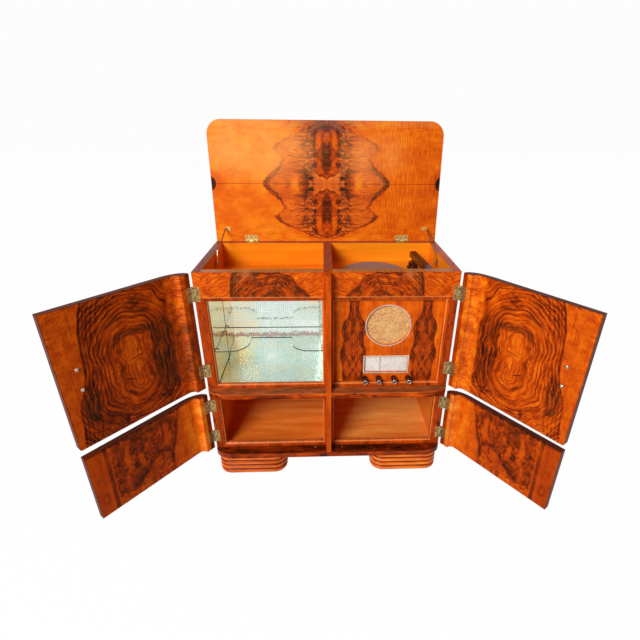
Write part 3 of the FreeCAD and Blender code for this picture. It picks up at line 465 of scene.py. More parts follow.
class UpperDoorFigure:
    """The tall oval figure of the upper doors, with the fields that its parts share."""

    def __init__(self, finish, u, h):
        """u runs from the hinge and h down from the top."""
        oval_centre = (272, 290)
        oval_half_length = 90
        du, dh = figure_warp(finish, u, h, 7, 44, 9)
        x, y = u + du, h + dh
        self.finish = finish
        self.u = u
        self.h = h
        self.du = du
        self.x = x
        self.y = y
        self.oval_u = oval_centre[0]
        self.reach, self.along = long_oval(finish, x, y, oval_centre, oval_half_length)
        self.crinkle = finish.noise(x * 0.6, y, 12, size=15, detail=5, rough=0.7, warp=1.4)
        self.mottle = finish.noise(x, y, 90, size=42, detail=5, rough=0.62)
        self.speck = finish.noise(x, y, 95, size=7, detail=3, rough=0.65)
        self.upright = finish.patches((-0.04, 0.14), x, y * 0.07, 26, size=4.6, detail=3)
        self.stripe = long_grain(finish, h, u + du * 0.4, 1, 5, 4.5)
        self.edge = u - finish.curve(h, 0, upper_figure_height, [412, 438, 449, 454, 470, 501, 509, 520])
        self.figured = finish.soft(self.edge + du * 0.12, 2, -3) * finish.soft(u + du * 0.7, 96, 112)

    def oval_rings(self):
        """Tone of the figured part: rings round the oval, its heart, rim and bowl."""
        finish, reach, along = self.finish, self.reach, self.along
        broad, fine, drawn = wispy_rings(finish, reach, along)
        heart = finish.soft(reach, 64, 44)
        wave = finish.math("SINE", reach * (math.tau / 11.0) + self.crinkle * 3.0)
        inner_rings = finish.soft(wave, 0.1, 1.0) * heart * finish.soft(reach, 22, 40)
        rim = finish.patches((-0.10, 0.16), along * 12, reach * 0.1, 3, size=9, detail=2)
        rim = rim * finish.line(reach - 58, 3.5, 7)
        bowl = finish.line(reach - 60, 2.4, 6) * finish.soft(self.h, 372, 420)
        tone = 0.65 + broad * 1.05 + fine * 0.80 + self.mottle * 0.50 + heart * 0.05
        return tone - drawn * (0.24 - heart * 0.19) - inner_rings * 0.09 - rim * 0.16 - bowl * 0.16

    def add_arches(self, tone):
        """Two arches over the oval: the tone with them, and their smoke."""
        arch_middle = 262
        finish, u, y = self.finish, self.u, self.y
        arch_u = u - arch_middle
        arch_bend = arch_u * arch_u * 0.0030
        arch = finish.line(y - 160 - arch_bend, 6, 16) * finish.soft(abs(arch_u), 96, 50)
        high_arch = finish.line(y - 92 - arch_bend * 0.6, 3, 11)
        high_arch = high_arch * finish.soft(abs(abs(u - self.oval_u) - 58), 46, 16)
        return tone - arch * 0.17 - high_arch * 0.18, arch * 0.26 + high_arch * 0.2

    def add_dark_places(self, tone, dull):
        """Dark flank of the oval, ends, knots, a blotch and cracks: the tone with them, and their smoke."""
        finish, u, h, du, x, y = self.finish, self.u, self.h, self.du, self.x, self.y
        crinkle, upright = self.crinkle, self.upright
        flank = finish.soft(x, 222, 170) * finish.soft(h, 90, 200) * finish.soft(h, 510, 430)
        blotch = finish.spot(x, y, (456, 396), (28, 76), 0.9)
        ends = finish.soft(y, 120, 40) * finish.soft(u, 170, 200) + finish.soft(y, 446, 500)
        knots = finish.capped(finish.spots(x, y, upper_door_knots))
        crack = finish.line(h - 274 - (u - 266) * 0.12 - du * 0.1, 1.0, 2.0)
        crack = crack * finish.soft(abs(u - 266), 32, 14)
        low_crack = finish.line(h - 358 + (u - 300) * 0.55, 1.2, 2.4) * finish.soft(abs(u - 300), 24, 10)
        tone = tone - flank * (0.20 + upright * 0.18) - (crack + low_crack) * 0.34
        tone = tone - ends * finish.soft(crinkle, -0.02, 0.14) * 0.24
        tone = tone - knots * (0.20 + crinkle * 0.7) - blotch * (0.17 + crinkle * 0.6 + upright * 0.10)
        return tone, flank * (0.04 + dull * 0.14) + blotch * 0.20

    def plain_wood(self):
        """Tone of the plain strips, with a slanting ripple that fades out downwards."""
        finish, u, h = self.finish, self.u, self.h
        diagonal = finish.noise((h - u * 0.6) * 0.9, (u + h * 0.6) * 0.16, 5, size=4.5, detail=3, rough=0.6)
        tone = 0.68 + self.stripe * 0.60 + self.mottle * 0.55 + self.speck * 0.20
        return tone + diagonal * 0.60 * finish.soft(h, 300, 60)

    def add_hinge_strip(self, tone, dull):
        """Flecks and cross ripples in the strip beside the hinge: the tone with them, and a painted
        highlight.
        """
        finish, u, h, du = self.finish, self.u, self.h, self.du
        strip = finish.soft(u + du * 0.7, 110, 90) * finish.soft(u, 24, 30)
        cross = finish.noise(u * 0.35, h, 70, size=5.5, detail=3)
        fleck = finish.patches((0.14, 0.26), u, h * 0.6, 75, size=9, detail=3)
        left_strip_darkening = dull * (0.22 - finish.soft(h, 330, 60) * 0.14)
        tone = tone + strip * (0.10 - left_strip_darkening + self.mottle * 0.6 + cross * 0.40 - fleck * 0.36)
        tone = tone - finish.soft(u, 28, 23) * (0.20 + self.stripe * 0.3)
        # Painted highlight: a pale band along the curve beside the hinge
        return tone, strip * finish.line(u - 50 + du * 0.2, 2, 18) * (0.06 - dull * 0.01 + cross * 0.4)

    def boundary_lines(self):
        """Dark lines inside the boundary beside the plain strip at the free edge."""
        finish, u, h = self.finish, self.u, self.h
        lines = finish.lines(self.edge, self.du, upper_door_lines)
        lines = lines * (finish.noise(u, h, 61, size=24, detail=3) * 1.4 + 0.8)
        return finish.capped(lines * (1 - finish.soft(h, 300, 380) * 0.35))


def upper_door_tone(finish, u, h, dull):
    """Tone, smoke and painted highlight of the upper doors, at u and h as in their figure.
    dull is 1 for the left doors, which are made darker and smokier, and 0 for the right ones."""
    figure = UpperDoorFigure(finish, u, h)
    figured = figure.figured
    burr, arch_smoke = figure.add_arches(figure.oval_rings())
    burr, dark_smoke = figure.add_dark_places(burr, dull)
    tone = finish.blend(figured, figure.plain_wood(), burr)
    tone, painted_sheen = figure.add_hinge_strip(tone, dull)
    # Painted shade on the left doors at the shade spots; they are also darker towards the bottom
    shade = finish.spots(figure.x, figure.y, upper_door_shade)
    tone = tone - figure.boundary_lines() * 0.36 - dull * 0.03
    tone = tone - dull * figured * (0.03 + finish.soft(h, 300, 540) * 0.05 + shade * 0.12)
    smoke = arch_smoke + dark_smoke
    smoke = smoke + figured * finish.soft(figure.mottle, 0.02, 0.22) * (0.06 + dull * 0.10)
    smoke = smoke + figured * finish.soft(figure.speck, 0.0, 0.2) * (dull * 0.08)
    return tone, smoke, painted_sheen


def lower_door_trail(finish, u, h, x, y):
    """A dark trail beside the boundary of the lower doors' figure, and a chain of dark places from it."""
    beside = finish.curve(h, 0, lower_figure_height, [148, 158, 172, 190, 205, 206])
    trail = finish.line(x - beside, 3, 12) * (0.3 + finish.soft(h, 120, 220) * 0.7)
    chain = finish.line(y - finish.curve(u, 205, 440, [225, 172, 182, 224, 252, 262, 215]), 5, 14)
    return finish.capped(trail + chain * finish.soft(u, 200, 216) * finish.soft(u, 448, 430) * 0.8)


def lower_door_burr(finish, u, h, x, y):
    """Tone and smoke of the lower doors' figured part, x and y being u and h with its warp."""
    swirl = finish.noise(x, y * 0.8, 11, size=66, detail=2)
    lines = finish.soft(finish.math("SINE", swirl * 44.0) + finish.noise(x, y, 3, size=9, detail=2), 0.3, 1.1)
    mottle = finish.noise(x, y * 0.7, 71, size=36, detail=5, rough=0.64)
    clumps = finish.patches((-0.04, 0.16), x, y * 0.5, 76, size=30, detail=4, rough=0.62)
    crinkle = finish.noise(x, y * 0.6, 73, size=12, detail=5, rough=0.7, warp=1.2)
    strokes = finish.patches((0.02, 0.18), x, y * 0.22, 79, size=10, detail=3)
    trail = lower_door_trail(finish, u, h, x, y)
    dark = finish.spots(x, y, lower_door_dark) + finish.spot(x, y, (207, 256), (10, 34), 0.8)
    low = finish.soft(y, 236, 290)
    lenses = finish.spots(x, y, lower_door_lenses, 0.7) + finish.spot(x, y, (290, 232), (34, 26), 0.9) * 0.6

    tone = 0.58 + mottle * 0.9 + crinkle * 0.5 + low * 0.14 - lines * 0.17 - clumps * 0.15 - strokes * 0.14
    tone = tone - finish.soft(crinkle, 0.0, 0.15) * 0.12 - trail * (0.20 + crinkle * 0.3)
    tone = tone - finish.capped(dark) * (0.10 + crinkle * 0.7) * (1 - low * 0.4)
    return finish.blend(lenses * 0.85, tone, 0.68 + mottle * 0.40), dark * 0.08 + clumps * 0.10


def lower_door_tone(finish, u, h, dull):
    """Figure of the lower doors, u from the hinge and h down from the top: tone, smoke and painted highlight.
    dull is 1 for the left doors, which are made darker and smokier, and 0 for the right ones."""
    du, dh = figure_warp(finish, u, h, 57, 30, 26)
    burr, burr_smoke = lower_door_burr(finish, u, h, u + du, h + dh)
    boundary = finish.curve(h, 0, lower_figure_height, [140, 152, 166, 184, 200, 204])
    inside = finish.soft(u + du * 0.4 - boundary, -8, 10) * finish.soft(u, 462, 452)

    # Plain wood at both ends, with a dark band and an eye at the free end
    wide = finish.noise(u, h, 80, size=60, detail=5, rough=0.66)
    plain = 0.70 + long_grain(finish, h, u + du * 0.5, 4, 9, 5) * 0.60 + wide * 0.60
    tone = finish.blend(inside, plain, burr)
    strip = finish.soft(u + du * 0.3, 150, 90) * finish.soft(u, 24, 30)
    tone = tone + strip * (0.13 + dull * 0.06 + wide * 0.30) - finish.soft(u, 28, 23) * 0.30
    band = finish.line(u - 466 - finish.soft(h, 120, lower_figure_height) * 5 + du * 0.25, 4.0, 7)
    eye = finish.line(oval_reach(u + du * 0.4, h + dh * 0.4, (507, 232), (12, 22)) - 1.0, 0.12, 0.6)
    tone = tone - band * 0.30 - eye * 0.08 - finish.soft(h, 16 + du * 0.4, 2) * 0.22 - dull * 0.02
    tone = tone - finish.soft(u, 470, 486) * (0.12 - dull * 0.06 + finish.soft(wide, 0.0, 0.2) * 0.20)
    smoke = inside * (burr_smoke + dull * 0.06) + band * 0.08
    # Painted highlight: a pale band along the curve beside the hinge
    painted_sheen = strip * finish.line(u - 46, 6, 12) * (0.16 - dull * 0.06 + wide * 0.6)
    return tone, smoke, painted_sheen


def joint_range(name):
    """The limits of a joint in degrees from the pose shown."""
    return next(joint["range_deg"] for joint in frame["joints"] if joint["name"] == name)


def door_axes(finish, door):
    """Place on a door in its own axes: u from its hinge line, t through it and z up."""
    low, high = joint_range(door + "_hinge")
    closed_turn, side = (high, 1) if "left" in door else (low, -1)
    return finish.place((-side * door_hinge_x, door_hinge_y, 0), (0, 0, -closed_turn), (side, 1, 1))


def lid_axes(finish):
    """Place on the lid in its own axes: x across, -y from its pin line and z through it."""
    return finish.place((0, *lid_pin), (-joint_range("lid_hinge")[1], 0, 0))


def door_finish(door, figure, top, bottom):
    """The figured inner face, plainer outer face and dark edges of one door."""
    finish = Finish(door + "_walnut")
    u, t, z = door_axes(finish, door)
    h = top - z
    tone, smoke, painted_sheen = figure(finish, u, h, 1.0 if "left" in door else 0.0)
    ends = finish.soft(z, top - 0.9, top - 0.4) + finish.soft(z, bottom + 0.9, bottom + 0.4)
    ends = finish.capped(ends + finish.soft(u, door_free_u - 0.9, door_free_u - 0.4))
    edge_grain = long_grain(finish, u + z, t, 2, 3, 5)
    arris = finish.soft(u, door_free_u - 5, door_free_u - 1.5) + finish.soft(h, 4, 1.5)
    outside = finish.soft(t, door_inner_t - 0.6, door_inner_t - 1.4)
    tone = finish.blend(ends, tone - arris * 0.12 - outside * 0.04, 0.24 + edge_grain * 0.3)
    clear = 1 - ends
    painted_sheen = painted_sheen * clear * (1 - outside)
    return polish(finish, tone, rough=0.36, shine=0.045, smoke=smoke * clear, painted_sheen=painted_sheen)


class LidFigure:
    """The lid's four-way matched figure, with the fields that its parts share."""

    def __init__(self, finish, x, b):
        """x runs from the middle to the right, b down from the matching line."""
        a = abs(x)
        side = abs(b)
        warp_a = finish.noise(a, side, 13, size=42, detail=4) * 30
        warp_a = warp_a + finish.noise(a, side, 8, size=13, detail=3) * 16
        warp_b = finish.noise(a, side, 47, size=42, detail=4) * 30
        warp_b = warp_b + finish.noise(a, side, 80, size=13, detail=3) * 12
        p = a + warp_a
        q = side + warp_b
        ragged = finish.noise(a, side, 52, size=22, detail=5, rough=0.68)
        inner_edge = finish.curve(q, 0, lid_figure_half, [-14, 8, 52, 58, 64, 56, 60, 66, 72, 66, 36, -14])
        outer_edge = finish.curve(side, 0, lid_figure_half, [290, 262, 222, 208, 236, 190, 100, 0])
        self.finish = finish
        self.x = x
        self.b = b
        self.a = a
        self.side = side
        self.warp_a = warp_a
        self.warp_b = warp_b
        self.p = p
        self.q = q
        self.high = 1 - finish.soft(b, -30, 30)
        self.burl = finish.noise(p, q * 0.7, 21, size=16, detail=5, rough=0.68, warp=1.0)
        self.mottle = finish.noise(p, q, 24, size=46, detail=5, rough=0.66)
        self.cross_ripple = finish.noise(a * 0.12, side, 19, size=7, detail=3)
        self.inner = p + ragged * 110 - inner_edge
        self.outer = p - outer_edge
        self.figured = finish.soft(self.outer, 4, -8) * finish.soft(side, 268, 248)
        self.core = finish.soft(self.inner, 3, -6)

    def plain_wood(self):
        """Tone and painted sheen of the plain wood, with a pale painted sheen on each side."""
        finish, x, b = self.finish, self.x, self.b
        swell = finish.noise(self.a * 0.4, self.side, 17, size=38, detail=5, rough=0.62)
        ripple = finish.noise(self.a, self.side * 0.1, 18, size=6, detail=3)
        cloud = finish.noise(x, b, 29, size=120, detail=4, rough=0.6)
        # Painted sheen: paler wide places at the upper left and at the right
        painted_sheen_left = finish.soft(oval_reach(x, b, (-320, -160), (300, 150)), 1.3, 0.2)
        painted_sheen_right = finish.soft(oval_reach(x, b, (230, -130), (150, 110)), 1.4, 0.3)
        tone = 0.84 + swell * 0.34 + cloud * 0.36 + self.mottle * 0.20 + painted_sheen_left * 0.12
        tone = tone - finish.soft(x, 60, 480) * 0.07 + ripple * finish.soft(x, 120, 330) * 0.50
        tone = tone + self.cross_ripple * finish.soft(self.side, 120, 260) * 0.30
        return tone, painted_sheen_left * (0.40 + cloud) + painted_sheen_right * (0.16 + cloud * 0.5)

    def add_wisps(self, tone):
        """Wisps and clumps between the two outlines: the tone with them, and the wisps."""
        finish, p, side = self.finish, self.p, self.side
        near = finish.soft(p, 190, 70)
        fibre = finish.noise(self.a * 0.11, side + self.warp_b * 0.9, 15, size=6.0, detail=3, rough=0.62)
        wisps = finish.soft(fibre, 0.05 - near * 0.10, 0.13 - near * 0.09)
        wisps = wisps * finish.soft(self.outer, 4, -30) * finish.soft(p, 40, 90) * self.figured
        clumps = finish.patches((-0.02, 0.10), p, self.q * 0.7, 63, size=20, detail=4, rough=0.66)
        clumps = clumps * finish.soft(p, 50, 66) * finish.soft(p, 132, 96) * finish.soft(side, 262, 240)
        tone = tone - self.figured * (0.08 - self.mottle * 0.60 - self.burl * near * 0.40)
        return tone - wisps * (0.24 + near * 0.14) - clumps * 0.30, wisps

    def add_core(self, tone):
        """The laddered column, spine, lenses, moustaches and wings: the tone, the column and the wings."""
        finish, a, side, p, q, core = self.finish, self.a, self.side, self.p, self.q, self.core
        column = finish.soft(p, 32, 12) * finish.soft(abs(side - 112), 84, 50)
        ladder = finish.patches((-0.06, 0.1), a * 0.3, side, 35, size=5, detail=2)
        spine = finish.patches((-0.02, 0.12), p * 1.6, side * 0.6, 37, size=8, detail=3)
        spine = spine * finish.soft(p, 40, 16) * core
        lens = finish.spot(p, q, (42, 182), (13, 42), 0.6)
        moustache = finish.line(q - 46 + p * 0.12, 4, 9) * finish.soft(p, 84, 56)
        spikes = finish.patches((-0.06, 0.12), a * 0.10, side, 39, size=4.4, detail=3)
        wing = finish.spot(a + spikes * 26 - 8, side, (104, 24), (26, 32), 0.9) * (0.45 + spikes * 0.55)
        dark_burl = finish.soft(self.burl, -0.04, 0.14)
        tone = tone - core * (0.12 - self.burl * 0.5 + dark_burl * 0.16 + moustache * 0.14)
        tone = tone - column * (0.16 + ladder * 0.22 + self.burl * 0.4) - spine * 0.20
        tone = tone - wing * (0.46 - self.mottle * 0.6)
        return finish.blend(lens * 0.75 * core, tone, 0.80 + self.mottle * 0.3), column, wing

    def add_outlines(self, tone):
        """Dark lines along both outlines: the tone with them, and the outer and second line."""
        finish, side, inner, burl = self.finish, self.side, self.inner, self.burl
        patchy = finish.patches((-0.16, 0.14), self.p, self.q, 91, size=30, detail=3)
        reach_end = finish.soft(side, 262, 244)
        inner_line = finish.line(inner + 3 + burl * 20, 1.6, 8) * reach_end * (0.45 + patchy * 0.75)
        second_line = finish.line(inner - 40 + self.high * 14 + burl * 40 + self.mottle * 60, 1.2, 8)
        second_line = second_line * reach_end * finish.soft(side, 56, 86)
        third_line = finish.line(inner + 16 + burl * 24, 1.0, 6) * self.core * patchy
        width = finish.curve(side, 0, lid_figure_half, [8, 12, 9, 3, 1, 4, 8, 3, 1.4, 1.4])
        strength = finish.curve(side, 0, lid_figure_half, [0.7, 0.9, 0.9, 0.6, 0.5, 0.8, 0.9, 0.7, 0.8, 1])
        outer_line = finish.line(self.outer + burl * 44 + self.warp_a * 0.25, width, 10)
        outer_line = outer_line * finish.soft(side, 272, 258) * strength * (0.55 + patchy * 0.5)
        outer_line = outer_line * (1 - self.high * finish.soft(side, 90, 130) * 0.6)
        tone = tone - inner_line * 0.42 - second_line * 0.26 - third_line * 0.16
        return tone - outer_line * (0.44 - self.mottle * 0.6), outer_line, second_line

    def add_ends(self, tone):
        """Dark tips at the ends of the matching line, that line, ribs, and a painted dark reflection at the
        top.
        """
        finish, a, b, side = self.finish, self.a, self.b, self.side
        tip = (lid_edge_x, 0)
        tips = finish.spot(a + self.warp_a * 0.2, side, tip, (20, 30), 0.3)
        halo = finish.soft(oval_reach(a, side, tip, (40, 52)), 1.6, 0.8)
        above = b + 300.0
        spread = finish.math("ARCTAN2", above, a)
        away = (above * above + a * a) ** 0.5
        ribs = finish.patches((0.0, 0.14), spread * 30, away * 0.05, 44, size=2.6, detail=3)
        ribs = ribs * finish.soft(away, 230, 130)
        # Painted dark reflection over the top middle of the lid
        smear_and_dark_reflection = finish.soft(b, -214, -262) * finish.soft(a + self.mottle * 160, 140, 10)
        matching_line = finish.line(b + finish.noise(self.x, 0, 3, size=40) * 2, 0.6, 1.4)
        return tone - tips * 0.60 - halo * 0.10 - ribs * 0.26 - smear_and_dark_reflection * 0.36 - matching_line * 0.26


def lid_tone(finish, x, b):
    """Tone, smoke, painted sheen and painted violet reflection of the lid, at x and b as in its figure."""
    figure = LidFigure(finish, x, b)
    tone, painted_sheen = figure.plain_wood()
    tone, wisps = figure.add_wisps(tone)
    tone, column, wing = figure.add_core(tone)
    tone, outer_line, second_line = figure.add_outlines(tone)
    tone = figure.add_ends(tone)
    smoke = outer_line * 0.32 + wing * 0.08 + column * 0.03 + wisps * 0.04 + second_line * 0.08
    # Painted sheen over the figure, stronger in the upper half, and along the top
    painted_sheen = painted_sheen + figure.figured * (1 - figure.core) * (0.05 + figure.high * 0.08) * (1 - wing)
    painted_sheen = painted_sheen + finish.soft(b, -240, -268) * 0.16
    # Painted violet reflection near the top, over the middle
    violet = finish.soft(b, -196, -262) * finish.soft(figure.a, 230, 30)
    violet = violet * finish.soft(figure.cross_ripple + figure.mottle, -0.08, 0.10)
    return tone, smoke, painted_sheen, violet


def lid_finish():
    """The lid: its figured inner face, plainer outer face and dark edges."""
    finish = Finish("lid_walnut")
    x, y, z = lid_axes(finish)
    reach = -y
    tone, smoke, painted_sheen, violet = lid_tone(finish, x, lid_depth / 2 - reach)
    ends = finish.soft(abs(x), lid_edge_x, lid_edge_x + 0.6)
    ends = finish.capped(ends + finish.soft(reach, lid_depth + 4.0, lid_depth + 4.6))
    tone = finish.blend(ends, tone, 0.44 + long_grain(finish, x, z, 2, 3, 5) * 0.3)
    clear = 1 - ends
    return polish(
        finish, tone, rough=0.38, shine=0.09,
        smoke=smoke * clear, painted_sheen=painted_sheen * clear, painted_reflection=violet * clear * 0.75,
    )


def radio_panel_finish():
    """Two mirrored burl columns on a plain orange panel."""
    finish = Finish("radio_panel_walnut")
    x, y, z = finish.place()
    h = apron_foot - z
    columns_middle_x = 271.0
    column_offset = 159.0
    bulb_middle = 170.0
    diamond_height = 150.0
    c = abs(x - columns_middle_x) - column_offset
    du, dh = figure_warp(finish, c, h, 5, 16, 16)
    side = abs(c + finish.noise(c, h, 50, size=60) * 12) + du * 0.5
    depth = side - finish.curve(h, 20, 438, [20, 20, 26, 46, 50, 42, 48, 58, 54, 46, 44, 44])
    inside = finish.soft(depth, 4, -4)
    border = finish.line(depth + 9 + du * 0.4, 5, 9) * (0.8 + finish.noise(c, h, 9, size=24, detail=3) * 1.4)
    burl = finish.noise(side * 1.3, h * 0.45 + dh, 8, size=20, detail=5, rough=0.68, warp=0.8)
    streak = finish.noise(side, h * 0.07 + du * 0.2, 28, size=5, detail=4, rough=0.62)
    patches = finish.patches((0.0, 0.18), c, h * 0.8, 33, size=30, detail=4, rough=0.62)
    diamonds = abs(finish.math("MODULO", h + 36, diamond_height) - diamond_height / 2)
    diamonds = abs(diamonds * 0.5 - side)
    veins = finish.line(diamonds - 14 + du * 0.9, 0.8, 7) * finish.soft(h, 230, 270)
    bulb = finish.soft(abs(h - bulb_middle), 78, 40)
    holes = finish.spot(c + 14 + du, h + dh, (0, 152), (12, 24), 0.8)
    holes = holes + finish.spots(side + du, h + dh, [
        ((26, 262), (10, 26), 1.0),
        ((30, 352), (12, 40), 1.0),
        ((0, 404), (8, 34), 0.6),
    ], 0.8)
    mottle = finish.noise(x, h, 71, size=50, detail=5, rough=0.62)
    grain = long_grain(finish, h, x + du * 0.5, 2, 11, 4.5)
    pale_sides = finish.line(abs(x - bay_centre_x) - 214, 8, 8)
    plain = 0.71 + grain * 0.90 + mottle * 0.50 + pale_sides * 0.08
    figure = 0.53 + burl * 1.25 + streak * 0.95 - border * 0.20 - veins * 0.18
    figure = figure - bulb * (0.06 + patches * 0.18) - patches * 0.10
    figure = finish.blend(holes * 0.8, figure, 0.66 + mottle * 0.4)
    outline = finish.line(depth + du * 0.2, 1.0, 3)
    smoke = inside * (0.10 + bulb * patches * 0.32 + patches * 0.14)
    return polish(finish, finish.blend(inside, plain, figure) - outline * 0.16, smoke=smoke)


def apron_finish():
    """Front aprons: a fan of burl arcs inside a dark upright band."""
    finish = Finish("apron_walnut")
    x, y, z = finish.place()
    h = case_top - z
    a = abs(x)
    du, dh = figure_warp(finish, a, h, 61, 40, 17)
    reach, along = long_oval(finish, a + du, h + dh, (236, 212), 46)
    broad, fine, drawn = wispy_rings(finish, reach, along, 12.0, 11.0)
    edge = a - finish.curve(h, 0, apron_height, [386, 398, 402, 404])
    dome = reach - 166
    figured = finish.math("MAXIMUM", finish.soft(dome, 4, -4), finish.soft(a, 250, 262))
    figured = figured * finish.soft(edge, 2, -3)
    arcs = finish.lines(dome, 0.0, [(4, 1.2, 4, 1.0, 0), (15, 0.8, 4, 0.8, 0), (27, 1.2, 5, 0.6, 0)])
    arcs = arcs * finish.soft(a, 262, 240) * (0.8 + finish.noise(a, h, 31, size=14, detail=3) * 1.6)
    bars = finish.lines(edge, du, [(7, 4, 6, 1.0, 0.1), (21, 1.2, 5, 0.6, 0.2), (35, 2.0, 6, 0.4, 0.3)])
    mottle = finish.noise(a, h, 24, size=40, detail=5, rough=0.64)
    clumps = finish.patches((0.0, 0.18), a + du, h + dh, 29, size=34, detail=4, rough=0.62)
    ripple = finish.noise((h - a * 0.5) * 0.8, (a + h * 0.5) * 0.16, 6, size=5.0, detail=4, rough=0.62)
    plain = 0.67 + ripple * 1.05 + mottle * 0.60
    burr = 0.60 + broad * 1.1 + fine * 0.8 + mottle * 0.6 - drawn * 0.18 - clumps * 0.24
    tone = finish.blend(figured, plain, burr) - bars * (0.26 + mottle * 0.4) - arcs * 0.24
    top = finish.soft(h, 0.8, 0.3)
    rim = finish.soft(h, 7, 2) * (1 - top)
    sheen = finish.patches((0.0, 0.2), a * 0.5, h, 77, size=50, detail=3) * finish.soft(h, 60, 20)
    left = finish.soft(x, 0, -60)
    tone = finish.blend(top, tone, 0.42 + ripple * 0.3) - rim * 0.10 - left * figured * 0.06
    smoke = figured * (clumps * (0.30 + left * 0.20) + 0.03 + left * 0.06) + bars * 0.2
    # Painted sheen: pale on the top face and over the upper figure; a painted highlight along the lower lip
    painted_sheen = top * (0.42 + ripple * 0.5) + figured * sheen * 0.22
    painted_sheen = painted_sheen + finish.soft(h, apron_height - 7, apron_height - 2) * 0.36
    return polish(finish, tone, smoke=smoke, painted_sheen=painted_sheen)


def straight_finish(name, along, level, seed, **look):
    """Straight-grained wood, its grain along x, y or z."""
    finish = Finish(name)
    axes = dict(zip("xyz", finish.place()))
    run = axes.pop(along)
    across, depth = axes.values()
    wander = finish.noise(run * 0.2, across, depth, size=30, detail=1) * 6
    grain = long_grain(finish, run, across + wander, depth, seed, 3.0)
    flame = finish.noise(run * 0.35, across, depth + seed, size=45, detail=4, rough=0.6, warp=0.5)
    return polish(finish, level + grain * 0.60 + flame * 0.54, **look)


def frame_finish():
    """Opening frames: stripy dark red wood, with painted highlights along the inner edges and on the sills.
    """
    finish = Finish("frame_wood")
    x, y, z = finish.place()
    upper = finish.soft(z, 450, 470)
    middle = finish.blend(upper, lower_bay_middle_z, upper_bay_middle_z)
    half = finish.blend(upper, lower_bay_half_height, upper_bay_half_height)
    above = abs(z - middle) - half
    inset = finish.math("MAXIMUM", abs(abs(x) - bay_centre_x) - bay_half_width, above)
    # Painted highlights on the inner bevels at the front, and on the sills
    edge_highlight = finish.line(inset - 2.5, 1.6, 1.6) * finish.soft(y, -45, -50)
    sill = finish.soft(above, 3.0, -1.0) * finish.soft(middle - z, half - 3, half)
    tone = burl_wood(finish, z, x, y, 0.53, 31, 0.5) + edge_highlight * 0.20 + finish.soft(x, -200, 500) * 0.05
    return polish(finish, tone, painted_sheen=edge_highlight * 0.34 + sill * 0.2)


def rail_finish():
    """Middle rails: reddish burl in front; on top, dark burl with painted shade and a painted grey-violet
    sheen.
    """
    finish = Finish("rail_walnut")
    x, y, z = finish.place()
    front = burl_wood(finish, x, z, y, 0.48, 12, 1.0)
    # Painted shade: the top face's tone is set lower than the front's
    top_face = burl_wood(finish, x, y, z, 0.34, 15, 0.9)
    top = finish.soft(z, rail_top - 1.0, rail_top - 0.3)
    # Painted highlight just below the top edge of the front
    lip = finish.line(z - (rail_top - 2), 1.5, 2)
    # Painted grey-violet sheen on the top face, laid on as smoke and pale sheen
    sheen = finish.patches((-0.02, 0.16), x * 0.25, y, 7, size=20, detail=3)
    tone = finish.blend(top, front, top_face) + lip * 0.06
    return polish(finish, tone, smoke=top * sheen * 0.35, painted_sheen=top * sheen * 0.12 + lip * 0.14)


def foot_finish():
    """Reeded feet: glossy amber wood with painted shade in the grooves and painted highlights on the crests.
    """
    finish = Finish("foot_walnut")
    x, y, z = finish.place()
    grain = long_grain(finish, x, z, y, 27, 3.0)
    flame = finish.noise(x * 0.3, z, y, size=30, detail=4, rough=0.62)
    from_crest = abs(finish.math("FRACT", z * (1 / reed_height)) - 0.5)
    # Painted shade in the grooves and painted highlights on the crests, stronger on the right foot
    groove = finish.soft(from_crest, 0.27, 0.47)
    crest = finish.soft(from_crest, 0.30, 0.06)
    right = finish.soft(x, -500, 500)
    tone = 0.64 + grain * 0.7 + flame * 0.6 + right * 0.10 - groove * 0.34 + crest * 0.12
    return polish(finish, tone, rough=0.26, shine=0.12, painted_sheen=crest * (0.14 + right * 0.16 + flame * 0.6))


def back_finish():
    """Plywood back: long pale grain with a few small knots, painted lighter on the right, and stained brown
    outside.
    """
    finish = Finish("back_plywood")
    x, y, z = finish.place()
    wander = finish.noise(x * 0.3, z, 3, size=60, detail=2)
    grain = finish.noise(x * 0.03, z + wander * 16, 12, size=5.0, detail=4, rough=0.66)
    bands = finish.noise(x * 0.10, z + wander * 30, 15, size=34, detail=3)
    knots = finish.patches((0.25, 0.31), x * 0.6, z, 21, size=30, detail=2)
    # Painted light: lighter on the right, behind the right bay
    right = finish.soft(x, -150, 200)
    outside = finish.soft(y, case_back_y - 1.0, case_back_y - 0.3)
    tone = 0.68 + right * 0.44 + grain * 0.9 + bands * 0.6 - knots * 0.5 - outside * 0.5
    colour = finish.paint(outside * 0.7, finish.ramp(tone, pine_tones), (0.20, 0.075, 0.022))
    return varnish(finish, colour, 0.5, 0.12, grain, 0.25)


